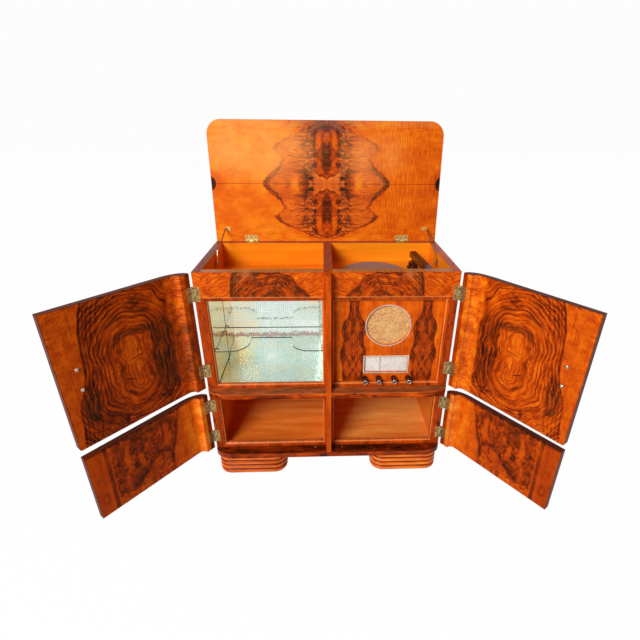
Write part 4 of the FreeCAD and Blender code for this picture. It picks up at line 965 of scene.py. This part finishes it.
def board_finish():
    """Bottom board: very dark figured walnut with painted shade on top, and light wood where the bays are
    lined, painted lighter towards the back and in the right bay.
    """
    finish = Finish("board_walnut")
    x, y, z = finish.place()
    front = burl_wood(finish, x, z, y, 0.44, 17, 0.7)
    # Painted shade: the top face's tone is set lower than the front's
    top_face = burl_wood(finish, x, y, z, 0.28, 19, 0.6)
    top = finish.soft(z, board_top - 1.0, board_top - 0.3)
    walnut = finish.ramp(finish.blend(top, front, top_face), walnut_tones)
    lining = finish.soft(abs(x), board_lining_x + 0.6, board_lining_x + 0.2)
    lining = lining * finish.soft(y, case_front_y + 2, case_front_y + 3)
    grain = long_grain(finish, x, y + finish.noise(x * 0.2, y, 1, size=40) * 12, z, 21, 5.0)
    streaks = finish.noise(x * 0.10, y + grain * 30, 25, size=34, detail=4, rough=0.62)
    # Painted light: the lining is lighter towards the back and in the right bay
    right = finish.soft(x, -60, 60)
    deep = finish.soft(y, 20, 330)
    level = 0.38 + deep * 0.32 + right * (0.26 + deep * 0.06)
    pine = finish.ramp(level + grain * 0.9 + streaks * 0.9, pine_tones)
    fibres = finish.noise(x * 0.1, y, z, size=2, detail=2)
    return varnish(finish, finish.paint(lining, walnut, pine), 0.34, 0.10, fibres, 0.15)


def well_finish():
    """Orange lining of the wells, with walnut under a painted pinkish sheen on the top edges."""
    finish = Finish("well_wood")
    x, y, z = finish.place()
    floor = finish.soft(z, 946, 940)
    grain = long_grain(finish, x, y + z + finish.noise(x * 0.15, z, y, size=30) * 8, 0, 41, 4.0)
    boards = finish.noise(x * 0.06, y + z, 8, size=22, detail=2)
    tone = 0.50 + grain * 0.7 + boards * 0.7 - floor * 0.1 + finish.soft(x, 0, 300) * 0.16
    top = finish.soft(z, case_top - 0.8, case_top - 0.3)
    edge = finish.ramp(burl_wood(finish, x + y, y - x, z, 0.50, 44, 0.4), walnut_tones)
    # Painted pinkish sheen on the top edges
    edge = finish.paint(0.30, edge, (0.42, 0.17, 0.11))
    colour = finish.paint(top, finish.ramp(tone, well_tones), edge)
    fibres = finish.noise(x * 0.1, y, z, size=2, detail=2)
    return varnish(finish, colour, 0.40, 0.10, fibres, 0.15)


def case_side_finish():
    """Case sides: figured walnut outside and on top, light wood in the bays and wells."""
    finish = Finish("case_side_walnut")
    x, y, z = finish.place()
    outside = long_grain(finish, z, y + finish.noise(z * 0.3, y, 3, size=80) * 30, x, 3, 5.0) * 0.7 + 0.60
    outside = outside + finish.noise(z * 0.4, y, 8, size=90, detail=5, rough=0.6) * 0.5
    ripple = finish.noise((z - abs(x) * 0.5) * 0.8, (x + z * 0.5) * 0.16, 6, size=5.0, detail=4, rough=0.62)
    front = burl_wood(finish, z, x, y, 0.50, 4, 0.55)
    front = finish.blend(finish.soft(z, apron_foot - 5, apron_foot + 3), front, 0.70 + ripple)
    top_face = burl_wood(finish, y, x, z, 0.40, 6, 0.5) + finish.soft(x, -400, 400) * 0.16
    face = finish.soft(y, case_front_y + 1.0, case_front_y + 0.4)
    top = finish.soft(z, case_top - 0.8, case_top - 0.3)
    walnut = finish.ramp(finish.blend(top, finish.blend(face, outside, front), top_face), walnut_tones)
    lining = finish.soft(abs(x), side_inner_x + 0.6, side_inner_x + 0.2)
    lining = lining * finish.soft(y, case_front_y + 2, case_front_y + 3) * (1 - top)
    grain = long_grain(finish, y, z + finish.noise(y * 0.2, z, 1, size=30) * 8, x, 3, 4.0)
    pine = finish.ramp(0.5 + grain * 0.8, pine_tones)
    well = finish.ramp(0.40 + grain * 0.6 + finish.soft(x, -400, 400) * 0.2, well_tones)
    colour = finish.paint(lining, walnut, finish.paint(finish.soft(z, 690, 700), pine, well))
    return varnish(finish, colour, 0.32, 0.08, pores_and_ripples(finish)[1], 0.5)


def metal_finish(name, colour, rough, stain, stain_colour=(0.05, 0.04, 0.03), size=8.0, metallic=1.0):
    """Metal with small stains, fine scratches and a brushed unevenness."""
    finish = Finish(name)
    x, y, z = finish.place()
    blot = finish.patches((-0.04, 0.16), x, y, z, size=size, detail=4, rough=0.65)
    fine = finish.noise(x, y, z, size=size * 0.15, detail=2)
    scratch = finish.noise(x * 0.1, y * 0.1 + z, z * 0.1, size=0.6, detail=2)
    finish.relief(fine + scratch * 0.3, 0.06)
    return finish.set(
        Base_Color=finish.paint(blot * stain, colour, stain_colour),
        Roughness=blot * 0.25 + fine * 0.15 + scratch * 0.1 + rough,
        Metallic=metallic,
    )


def plastic_finish(name, colour, rough, fleck, fleck_colour=(0.3, 0.03, 0.01)):
    """Moulded plastic with a slight mottle and handling wear."""
    finish = Finish(name)
    x, y, z = finish.place()
    mottle = finish.patches((0.0, 0.25), x, y, z, size=9, detail=4, rough=0.6, warp=1.0)
    wear = finish.noise(x, y, z, size=3, detail=3)
    finish.relief(wear, 0.05)
    return finish.set(
        Base_Color=finish.paint(mottle * fleck, colour, fleck_colour),
        Roughness=wear * 0.2 + rough,
    )


# Tints of the mirrors: yellowed, green and clear
mirror_tints = [
    (0.25, (0.98, 0.86, 0.56)),
    (0.50, (0.74, 0.90, 0.83)),
    (0.75, (0.94, 0.97, 0.92)),
]


def mosaic_finish():
    """Small square mirror tiles, each a little tilted and tinted, with grey joints and dark corners."""
    finish = Finish("mirror_mosaic")
    tile_pitch = 10.0
    first_joint = 0.37
    tile_lean = (-1.4, 0.5, 0.5)
    tile_tilt = 0.022
    x, y, z = finish.place()
    low, high = ([v / MM for v in corner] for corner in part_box("niche_mirrors"))

    # Joints between the tiles, and one chance value and colour for each tile
    joints = 0.0
    tile_places = []
    for value, share in ((x, 1.8), (y, 0.8), (z, 0.8)):
        tiles = value * (1 / tile_pitch) + first_joint
        from_middle = abs(finish.math("FRACT", tiles) - 0.5)
        joints = joints + finish.soft(from_middle, 0.38, 0.48) * share
        tile_places.append(finish.math("FLOOR", tiles))
    joint = finish.math("MINIMUM", joints, 1.8)
    chance = finish.node("ShaderNodeTexWhiteNoise")
    finish.feed(chance.inputs["Vector"], finish.point(*tile_places))
    tile = Field(finish, chance.outputs["Value"])

    # Dark corners where the mirrors meet
    from_wall = finish.math("MINIMUM", x - low[0], high[0] - x)
    corner = finish.soft(finish.math("MAXIMUM", from_wall, z - low[2]), 7.5, 5.5)
    corner = corner + finish.soft(finish.math("MAXIMUM", from_wall, high[1] - y), 6.0, 4.8)
    corner = finish.capped(corner)

    # Each tile leans its own way, and all of them a little to the right
    lean = finish.vector("SUBTRACT", Field(finish, chance.outputs["Color"]), tile_lean)
    facing = Field(finish, finish.node("ShaderNodeNewGeometry").outputs["Normal"])
    tilted = finish.vector("ADD", facing, finish.vector("SCALE", lean, tile_tilt))

    cast = finish.noise(x, y, z, size=130, detail=3) * 0.9 + 0.53
    cast = cast + (tile - 0.5) * 0.22 - finish.soft(x, -330, -500) * 0.22
    tint = finish.ramp(cast, mirror_tints)
    silvered = finish.paint(joint * 0.28, tint, (0.26, 0.31, 0.28))
    return finish.set(
        Base_Color=finish.paint(corner, silvered, (0.020, 0.016, 0.010)),
        Metallic=(0.92 - joint * 0.16) * (1 - corner),
        Roughness=joint * 0.14 + corner * 0.4 + 0.07,
        Normal=finish.vector("NORMALIZE", tilted),
    )


def glass_finish(name, colour, alpha):
    """Clear glass that lets light straight through, with a film of dust on its polish."""
    finish = Finish(name)
    x, y, z = finish.place()
    dust = finish.patches((0.0, 0.3), x, y, z, size=14, detail=4, rough=0.65)
    finish.relief(finish.noise(x, y, z, size=25, detail=1), 0.05)
    return finish.set(
        Base_Color=(*colour, 1),
        Roughness=dust * 0.2 + 0.02,
        Alpha=dust * 0.05 + alpha,
        Specular_IOR_Level=0.6,
    )


def shelf_glass_finish():
    """Clear plate glass, dark green where its cut edge is seen."""
    finish = Finish("shelf_glass")
    x, y, z = finish.place()
    low, high = (corner.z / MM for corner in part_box("glass_shelf"))
    faces = finish.soft(z, high - 0.4, high - 0.2) + finish.soft(z, low + 0.4, low + 0.2)
    smear_and_dark_reflection = finish.patches((0.0, 0.3), x, y, z, size=30, detail=4, rough=0.6)
    finish.relief(finish.noise(x, y, z, size=40, detail=1), 0.05)
    return finish.set(
        Base_Color=finish.paint(faces, (0.010, 0.030, 0.018), (0.75, 0.88, 0.80)),
        Alpha=finish.blend(faces, 0.94, 0.07) + smear_and_dark_reflection * faces * 0.05,
        Roughness=smear_and_dark_reflection * 0.12 + 0.03,
    )


def cloth_finish():
    """Tan tweed speaker cloth with dark, pale and orange slubs."""
    finish = Finish("speaker_tweed")
    thread_pitch = 1.8
    x, y, z = finish.place()
    warp_thread = finish.math("SINE", x * (math.tau / thread_pitch) + finish.noise(x, z, 1, size=9) * 3)
    weft_thread = finish.math("SINE", z * (math.tau / thread_pitch) + finish.noise(x, z, 5, size=9) * 3)
    weave = warp_thread * weft_thread
    slub = finish.noise(x * 0.6, z, 3, size=4.5, detail=3, rough=0.7)
    cross_slub = finish.noise(x, z * 0.5, 8, size=4.5, detail=3, rough=0.7)
    patch = finish.noise(x, z, 9, size=36, detail=3)
    tans = [(0.2, (0.34, 0.15, 0.050)), (0.45, (0.78, 0.40, 0.140)), (0.8, (0.94, 0.62, 0.290))]
    colour = finish.ramp(slub * 1.5 + patch * 0.5 + 0.5, tans)
    colour = finish.paint(finish.soft(cross_slub, 0.10, 0.22) * 0.7, colour, (0.80, 0.26, 0.070))
    colour = finish.paint(finish.soft(cross_slub, -0.14, -0.24) * 0.35, colour, (0.24, 0.13, 0.060))
    finish.relief(weave * 0.5 + slub, 0.35)
    return finish.set(Base_Color=colour, Roughness=weave * 0.05 + 0.9, Specular_IOR_Level=0.1)


def felt_finish():
    """Brown felt with a short nap."""
    finish = Finish("mat_felt")
    x, y, z = finish.place()
    nap = finish.noise(x, y, z, size=2.2, detail=4, rough=0.7)
    wide = finish.noise(x, y, z, size=60, detail=2)
    browns = [(0.2, (0.13, 0.030, 0.012)), (0.8, (0.34, 0.10, 0.045))]
    colour = finish.ramp(nap * 0.6 + wide * 0.4 + 0.5, browns)
    finish.relief(nap, 0.5)
    return finish.set(Base_Color=colour, Roughness=0.95, Sheen_Weight=0.25)


def dial_finish():
    """Cream dial plate with slanting scale lines and fine tuning ticks."""
    finish = Finish("dial_print")
    row_pitch = 11.0
    tick_pitch = 6.0
    slant_pitch = 21.0
    x, y, z = finish.place()
    across = x - bay_centre_x
    up = z - dial_centre_z
    rows = finish.line(finish.math("FRACT", up * (1 / row_pitch) + 0.5) - 0.5, 0.03, 0.04)
    ticks = finish.line(finish.math("FRACT", across * (1 / tick_pitch)) - 0.5, 0.05, 0.06)
    slants = finish.line(finish.math("FRACT", (across + up * 0.62) * (1 / slant_pitch)) - 0.5, 0.03, 0.05)
    slants = slants * finish.soft(abs(up), 36, 30)
    slants = slants * finish.patches((-0.14, 0.1), across, up, 4, size=26, detail=2)
    border = finish.line(abs(across) - 95, 0.6, 0.5) + finish.line(abs(up) - 38, 0.6, 0.5)
    ink = rows * ticks * 0.5 + slants * 0.40 + border * 0.5
    age = finish.noise(x, z, 3, size=40, detail=4)
    fibre = finish.noise(x, z, 8, size=1.5, detail=2)
    paper = finish.ramp(age + fibre * 0.3 + 0.5, [(0.3, (0.76, 0.68, 0.58)), (0.7, (0.93, 0.89, 0.82))])
    finish.relief(fibre, 0.05)
    return finish.set(Base_Color=finish.paint(ink, paper, (0.20, 0.10, 0.06)), Roughness=fibre * 0.2 + 0.55)


def surround_finish(centre, width, height):
    """Cream moulding, dark along the edge of the window inside it, all in metres."""
    finish = Finish("dial_surround_cream")
    x, y, z = finish.place()
    beside = abs(x - centre.x / MM) - width / MM / 2
    above = abs(z - centre.z / MM) - height / MM / 2
    dark_window_edge = finish.soft(finish.math("MAXIMUM", beside, above), 1.3, 0.5)
    age = finish.noise(x, y, z, size=20, detail=4, rough=0.65)
    cream = finish.ramp(age + 0.5, [(0.3, (0.62, 0.44, 0.28)), (0.7, (0.88, 0.74, 0.56))])
    finish.relief(age, 0.1)
    return finish.set(Base_Color=finish.paint(dark_window_edge, cream, (0.05, 0.03, 0.02)), Roughness=age * 0.3 + 0.45)


def screw_marks(finish, from_pin, along):
    """Countersunk screws of a hinge leaf: their heads, and their rims and slots."""
    dv = finish.math("WRAP", along, -screw_half_spacing, screw_half_spacing)
    du = from_pin - screw_from_pin
    reach = (du * du + dv * dv) ** 0.5
    head = finish.soft(reach, screw_head_radius, screw_head_radius - 0.4)
    slot = finish.line(du * 0.6 + dv * 0.8, 0.35, 0.3) * head
    rim = finish.line(reach - (screw_head_radius + 0.1), 0.3, 0.4)
    return head, finish.capped(slot + rim)


def leaf_brass(finish, from_pin, along, clean=(0.52, 0.33, 0.11), aged=(0.085, 0.045, 0.018)):
    """Aged brass hinge leaf with screws, by the distance from its pin and the place along it."""
    x, y, z = finish.place()
    blot = finish.patches((-0.10, 0.14), x, y, z, size=11, detail=4, rough=0.66)
    fine = finish.noise(x, y, z, size=1.4, detail=3)
    head, dark = screw_marks(finish, from_pin, along)
    colour = finish.paint(blot * 0.85, clean, aged)
    colour = finish.paint(head * 0.4, colour, (0.62, 0.46, 0.22))
    colour = finish.paint(dark, colour, (0.012, 0.008, 0.004))
    finish.relief(fine * 0.2 + blot * 0.2 - dark, 0.12)
    return finish.set(Base_Color=colour, Roughness=blot * 0.22 + fine * 0.2 + 0.36, Metallic=0.85)


def hinge_height_from(finish, z):
    """Height above or below the middle of the nearest door hinge."""
    rows = []
    for low, high in (lower_hinge_heights, upper_hinge_heights):
        between = (low + high) / 2
        rows.append(z - finish.blend(finish.soft(z, between - 0.5, between + 0.5), low, high))
    return finish.blend(finish.soft(z, rows_meet_z - 0.5, rows_meet_z + 0.5), *rows)


def give(material, *names):
    """Puts one finish in every slot of CAD nodes."""
    for name in names:
        slots = nodes[name].data.materials
        for index in range(len(slots)):
            slots[index] = material


def dress_doors():
    """The veneer and the brass leaves of the four doors."""
    for row, figure, top, bottom in (
        ("upper", upper_door_tone, upper_door_top, upper_door_bottom),
        ("lower", lower_door_tone, lower_door_top, lower_door_bottom),
    ):
        for side in ("left", "right"):
            door = f"{row}_{side}_door"
            give(door_finish(door, figure, top, bottom), door)
            brass = Finish(door + "_brass")
            u, t, z = door_axes(brass, door)
            give(leaf_brass(brass, u, hinge_height_from(brass, z)), door + "_leaves")


def dress_fixed_hinges():
    """Brass leaves on the case, of the doors and, above them, of the lid."""
    brass = Finish("case_hinge_brass")
    x, y, z = brass.place()
    of_lid = brass.soft(z, 1000, 1001)
    from_pin = brass.blend(of_lid, door_hinge_x - abs(x), lid_pin[0] - y)
    along = brass.blend(of_lid, hinge_height_from(brass, z), abs(x) - lid_hinge_x)
    give(leaf_brass(brass, from_pin, along), "case_hinge_leaves")


def dress_lid():
    """The veneer of the lid, and its brighter brass leaves and brackets."""
    give(lid_finish(), "lid")
    brass = Finish("lid_hinge_brass")
    x, y, z = lid_axes(brass)
    bright = leaf_brass(brass, -y, abs(x) - lid_hinge_x, (0.80, 0.56, 0.17), (0.34, 0.19, 0.05))
    give(bright, "lid_fittings")


def dress_case():
    """The woods of the case, the bays and the wells."""
    give(radio_panel_finish(), "radio_panel")
    give(apron_finish(), "apron_left", "apron_right")
    give(case_side_finish(), "side_panel_left", "side_panel_right")
    give(straight_finish("post_walnut", "z", 0.62, 8), "centre_post")
    give(rail_finish(), "mid_rails")
    give(board_finish(), "bottom_board")
    give(foot_finish(), "foot_left", "foot_right")
    give(frame_finish(), "niche_frame", "radio_frame", "lower_left_frame", "lower_right_frame")
    bay_wood = straight_finish("bay_wood", "x", 0.5, 35, tones=pine_tones, rough=0.45, shine=0.12)
    give(bay_wood, "lower_divider", "niche_lining", "mid_board")
    give(back_finish(), "back_panel")
    give(well_finish(), "top_back_rail", "upper_divider", "motor_board", "left_well_floor")


def dress_fittings():
    """The mirrors, the radio, the record player and the small metal."""
    give(mosaic_finish(), "niche_mirrors")
    give(glass_finish("dial_glass_clear", (1, 1, 1), 0.04), "dial_glass")
    give(dial_finish(), "dial_scale")
    give(metal_finish("pointer_red", (0.10, 0.03, 0.02), 0.4, 0.3, metallic=0.0), "dial_pointer")
    give(metal_finish("ring_silver", (0.70, 0.60, 0.50), 0.34, 0.4), "speaker_ring")
    black_steel = metal_finish("black_steel", (0.03, 0.03, 0.03), 0.5, 0.3, metallic=0.6)
    give(black_steel, "speaker_driver", "gramophone_motor")
    give(metal_finish("chassis_steel", (0.45, 0.45, 0.44), 0.4, 0.4), "radio_chassis")
    give(glass_finish("valve_glass", (0.7, 0.72, 0.7), 0.5), "valves")
    give(plastic_finish("knob_brown", (0.020, 0.006, 0.004), 0.2, 0.4), *knobs)
    give(metal_finish("platter_metal", (0.30, 0.27, 0.25), 0.4, 0.3), "platter")
    resin = plastic_finish("arm_resin", (0.040, 0.005, 0.003), 0.22, 0.5, (0.13, 0.016, 0.006))
    give(resin, "tonearm", "tonearm_turret", "tonearm_base")
    give(metal_finish("rest_chrome", (0.8, 0.8, 0.8), 0.15, 0.1), "tonearm_rest")
    nickel = metal_finish("pull_nickel", (0.44, 0.37, 0.29), 0.25, 0.5)
    give(nickel, "upper_left_pull", "upper_right_pull", "door_catches")
    steel = metal_finish("stay_steel", (0.34, 0.26, 0.19), 0.3, 0.6)
    give(steel, "stay_case_brackets", "stay_lower_links", "stay_upper_links")


def new_piece(name, shape, material, body):
    """A finished mesh as its own piece, riding on a body."""
    mesh = bpy.data.meshes.new(name)
    shape.to_mesh(mesh)
    shape.free()
    mesh.materials.append(material)
    piece = bpy.data.objects.new(name, mesh)
    bpy.context.scene.collection.objects.link(piece)
    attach(piece, body)
    return piece


def lathe(shape, outline, segments):
    """Adds a closed outline of (radius, height) pairs in metres, turned round the upright axis."""
    verts = [shape.verts.new((radius, 0, height)) for radius, height in outline]
    edges = [shape.edges.new((verts[i], verts[(i + 1) % len(verts)])) for i in range(len(verts))]
    bmesh.ops.spin(
        shape, geom=verts + edges, cent=(0, 0, 0), axis=(0, 0, 1),
        angle=math.tau, steps=segments, use_merge=True,
    )
    bmesh.ops.remove_doubles(shape, verts=shape.verts, dist=1e-6)
    bmesh.ops.recalc_face_normals(shape, faces=shape.faces)


def stand_up(shape, place):
    """Turns a flat shape to face forwards at its place, with its faces pointing outwards."""
    turn = Matrix.Translation(place) @ Matrix.Rotation(math.pi / 2, 4, "X")
    bmesh.ops.transform(shape, matrix=turn, verts=shape.verts)
    bmesh.ops.recalc_face_normals(shape, faces=shape.faces)


# Radio knobs, and the ring and centre let into the front of each, as radii and heights in metres
knobs = ("volume_knob", "tone_knob", "tuning_knob", "band_knob")
knob_ring = [
    (0.0078, -0.0012), (0.0078, 0.0002), (0.0082, 0.0005),
    (0.0094, 0.0005), (0.0099, 0.0000), (0.0099, -0.0012),
]
knob_centre = [(0.0, -0.0012), (0.0, 0.0006), (0.0008, 0.0004), (0.0012, 0.0000), (0.0012, -0.0012)]


def make_knob_rings():
    """A plated ring and a small plated centre let into the front of each knob."""
    plated = metal_finish("knob_plating", (0.66, 0.56, 0.48), 0.30, 0.35, (0.20, 0.14, 0.10), 4.0)
    for name in knobs:
        low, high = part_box(name)
        centre = (low + high) / 2
        shape = bmesh.new()
        lathe(shape, knob_ring, 40)
        lathe(shape, knob_centre, 20)
        stand_up(shape, (centre.x, low.y, centre.z))
        ring = new_piece(name + "_ring", shape, plated, name)


def make_dial_surround():
    """Cream moulding round the dial window, with a dark inner edge."""
    window_width, window_height = 0.1975, 0.0815
    moulding_width = 0.0055
    moulding_depth = 0.0024
    edge_round = 0.0007
    let_in = 0.0008
    low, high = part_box("dial_glass")
    centre = (low + high) / 2
    outer_size = (window_width + 2 * moulding_width, window_height + 2 * moulding_width, 1)
    shape = bmesh.new()
    bmesh.ops.create_grid(shape, x_segments=1, y_segments=1, size=0.5)
    bmesh.ops.scale(shape, vec=outer_size, verts=shape.verts)
    bmesh.ops.inset_region(
        shape, faces=shape.faces[:], thickness=moulding_width, use_boundary=True, use_even_offset=True,
    )
    window = min(shape.faces, key=lambda face: face.calc_center_median().length)
    bmesh.ops.delete(shape, geom=[window], context="FACES")
    bmesh.ops.solidify(shape, geom=shape.faces[:], thickness=moulding_depth)
    level = [e for e in shape.edges if abs(e.verts[0].co.z - e.verts[1].co.z) < 1e-6]
    rims = [e for e in level if len(e.link_faces) == 2 and abs(e.calc_face_angle(0.0)) > 0.5]
    bmesh.ops.bevel(
        shape, geom=rims, offset=edge_round, segments=2, profile=0.5, affect="EDGES", material=-1,
    )
    middle = sum(v.co.z for v in shape.verts) / len(shape.verts)
    bmesh.ops.translate(shape, vec=(0, 0, -middle), verts=shape.verts)
    stand_up(shape, (centre.x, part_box("radio_panel")[0].y - let_in, centre.z))
    finish = surround_finish(centre, window_width, window_height)
    surround = new_piece("dial_surround", shape, finish, "cabinet")


def make_glass_shelf():
    """Plate glass shelf, cut back in the middle with round-cornered wings at each side."""
    wing = 0.144
    waist_y = 0.087
    corner_radius = 0.085
    low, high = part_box("glass_shelf")
    centre_x = (low.x + high.x) / 2
    columns = (low.x, low.x + wing, high.x - wing, high.x)
    rows = (low.y, waist_y, high.y)
    shape = bmesh.new()
    bmesh.ops.create_grid(shape, x_segments=3, y_segments=2, size=1.0)
    # The new grid runs from -1 to 1 both ways
    for vert in shape.verts:
        column = round((vert.co.x + 1) * 1.5)
        row = round(vert.co.y + 1)
        vert.co = (columns[column], rows[row], 0)

    def from_recess(face):
        """How far a face lies from the middle of the front."""
        middle = face.calc_center_median()
        return abs(middle.x - centre_x) * 10 + middle.y

    recess = min(shape.faces, key=from_recess)
    bmesh.ops.delete(shape, geom=[recess], context="FACES")
    tips = [v for v in shape.verts if abs(v.co.y - low.y) < 1e-6 and low.x + 0.01 < v.co.x < high.x - 0.01]
    bmesh.ops.bevel(
        shape, geom=tips, offset=corner_radius, segments=12, profile=0.5, affect="VERTICES", material=-1,
    )
    bmesh.ops.solidify(shape, geom=shape.faces[:], thickness=high.z - low.z)
    base = min(v.co.z for v in shape.verts)
    bmesh.ops.translate(shape, vec=(0, 0, low.z - base), verts=shape.verts)
    bmesh.ops.recalc_face_normals(shape, faces=shape.faces)
    shelf = new_piece("glass_shelf_plate", shape, shelf_glass_finish(), "cabinet")
    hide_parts("glass_shelf")


def make_speaker_cloth():
    """Cloth stretched over the speaker opening, slightly crowned by the cone behind it."""
    crown = 0.0006
    thickness = 0.0008
    set_back = 0.0009
    low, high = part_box("speaker_cloth")
    radius = (high.x - low.x) / 2
    centre = (low + high) / 2
    shape = bmesh.new()
    bmesh.ops.create_grid(shape, x_segments=72, y_segments=72, size=radius)
    outside = [v for v in shape.verts if v.co.xy.length > radius * 0.995]
    bmesh.ops.delete(shape, geom=outside, context="VERTS")
    for vert in shape.verts:
        share = vert.co.xy.length / radius
        vert.co.z = crown * (1 - share ** 2)
    bmesh.ops.solidify(shape, geom=shape.faces[:], thickness=thickness)
    stand_up(shape, (centre.x, low.y + set_back, centre.z))
    cloth = new_piece("speaker_tweed_cloth", shape, cloth_finish(), "cabinet")
    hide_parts("speaker_cloth")


def make_platter_mat():
    """Felt mat on the platter with a soft rim and a hole for the record pin."""
    hole_radius = 0.0042
    rim_round = 0.001
    low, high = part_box("platter_mat")
    centre = (low + high) / 2
    radius = (high.x - low.x) / 2
    thick = high.z - low.z
    shape = bmesh.new()
    lathe(shape, [
        (hole_radius, 0), (radius - rim_round, 0), (radius, thick * 0.4),
        (radius - rim_round, thick), (hole_radius, thick),
    ], 96)
    bmesh.ops.translate(shape, vec=(centre.x, centre.y, low.z), verts=shape.verts)
    mat = new_piece("platter_felt_mat", shape, felt_finish(), "platter")
    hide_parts("platter_mat")


def seen_rays(tree):
    """1 for rays that see a surface straight, in gloss or through glass, and 0 for light on the object."""
    path = tree.nodes.new("ShaderNodeLightPath")
    seen = path.outputs["Is Camera Ray"]
    for kind in ("Is Glossy Ray", "Is Transmission Ray"):
        either = tree.nodes.new("ShaderNodeMath")
        either.operation = "MAXIMUM"
        tree.links.new(seen, either.inputs[0])
        tree.links.new(path.outputs[kind], either.inputs[1])
        seen = either.outputs[0]
    return seen


def make_world():
    """A dim even light on the object, seen as near white."""
    world = bpy.data.worlds.new("studio")
    bpy.context.scene.world = world
    world.use_nodes = True
    tree = world.node_tree
    colour = tree.nodes.new("ShaderNodeMix")
    colour.data_type = "RGBA"
    colour.inputs[6].default_value = world_light
    colour.inputs[7].default_value = world_seen
    tree.links.new(seen_rays(tree), colour.inputs[0])
    tree.links.new(colour.outputs[2], tree.nodes["Background"].inputs["Color"])


def make_floor():
    """A pale floor that takes the object's shadow and is seen as near white."""
    shape = bmesh.new()
    bmesh.ops.create_grid(shape, x_segments=1, y_segments=1, size=floor_half_size)
    mesh = bpy.data.meshes.new("floor")
    shape.to_mesh(mesh)
    shape.free()
    floor = bpy.data.objects.new("floor", mesh)
    bpy.context.scene.collection.objects.link(floor)

    finish = Finish("floor_white")
    tree = finish.tree
    straight = Field(finish, finish.node("ShaderNodeLightPath").outputs["Is Camera Ray"])
    finish.set(
        Base_Color=finish.paint(straight, (0.6, 0.6, 0.6), (1.0, 1.0, 1.0)),
        Roughness=0.9,
        Specular_IOR_Level=0.0,
    )
    white = finish.node("ShaderNodeEmission")
    mix = finish.node("ShaderNodeMixShader")
    finish.feed(mix.inputs[0], Field(finish, seen_rays(tree)) * floor_seen_share)
    tree.links.new(finish.shader.outputs[0], mix.inputs[1])
    tree.links.new(white.outputs[0], mix.inputs[2])
    tree.links.new(mix.outputs[0], tree.nodes["Material Output"].inputs["Surface"])
    mesh.materials.append(finish.material)


def make_lamp():
    """The large soft lamp in front, high on the left."""
    lamp = bpy.data.lights.new("soft_lamp", "AREA")
    lamp.size = lamp_size
    lamp.energy = lamp_power
    holder = bpy.data.objects.new("soft_lamp", lamp)
    holder.location = lamp_place
    aim = Vector(lamp_aim) - Vector(lamp_place)
    holder.rotation_euler = aim.to_track_quat("-Z", "Y").to_euler()
    bpy.context.scene.collection.objects.link(holder)


def make_camera():
    """The camera at the photograph's viewing angle."""
    lens = bpy.data.cameras.new("camera")
    lens.sensor_width = camera_sensor
    lens.lens = camera_lens
    lens.shift_x = camera_shift
    camera = bpy.data.objects.new("camera", lens)
    turn = (
        Matrix.Rotation(camera_yaw, 4, "Z")
        @ Matrix.Rotation(math.pi / 2 - camera_pitch, 4, "X")
        @ Matrix.Rotation(camera_roll, 4, "Z")
    )
    camera.matrix_world = Matrix.Translation(camera_place) @ turn
    bpy.context.scene.collection.objects.link(camera)
    bpy.context.scene.camera = camera


bpy.context.scene.view_settings.view_transform = "Standard"
make_world()
make_floor()
make_lamp()
make_camera()

dress_doors()
dress_lid()
dress_case()
dress_fittings()
dress_fixed_hinges()

make_speaker_cloth()
make_platter_mat()
make_glass_shelf()
make_knob_rings()
make_dial_surround()
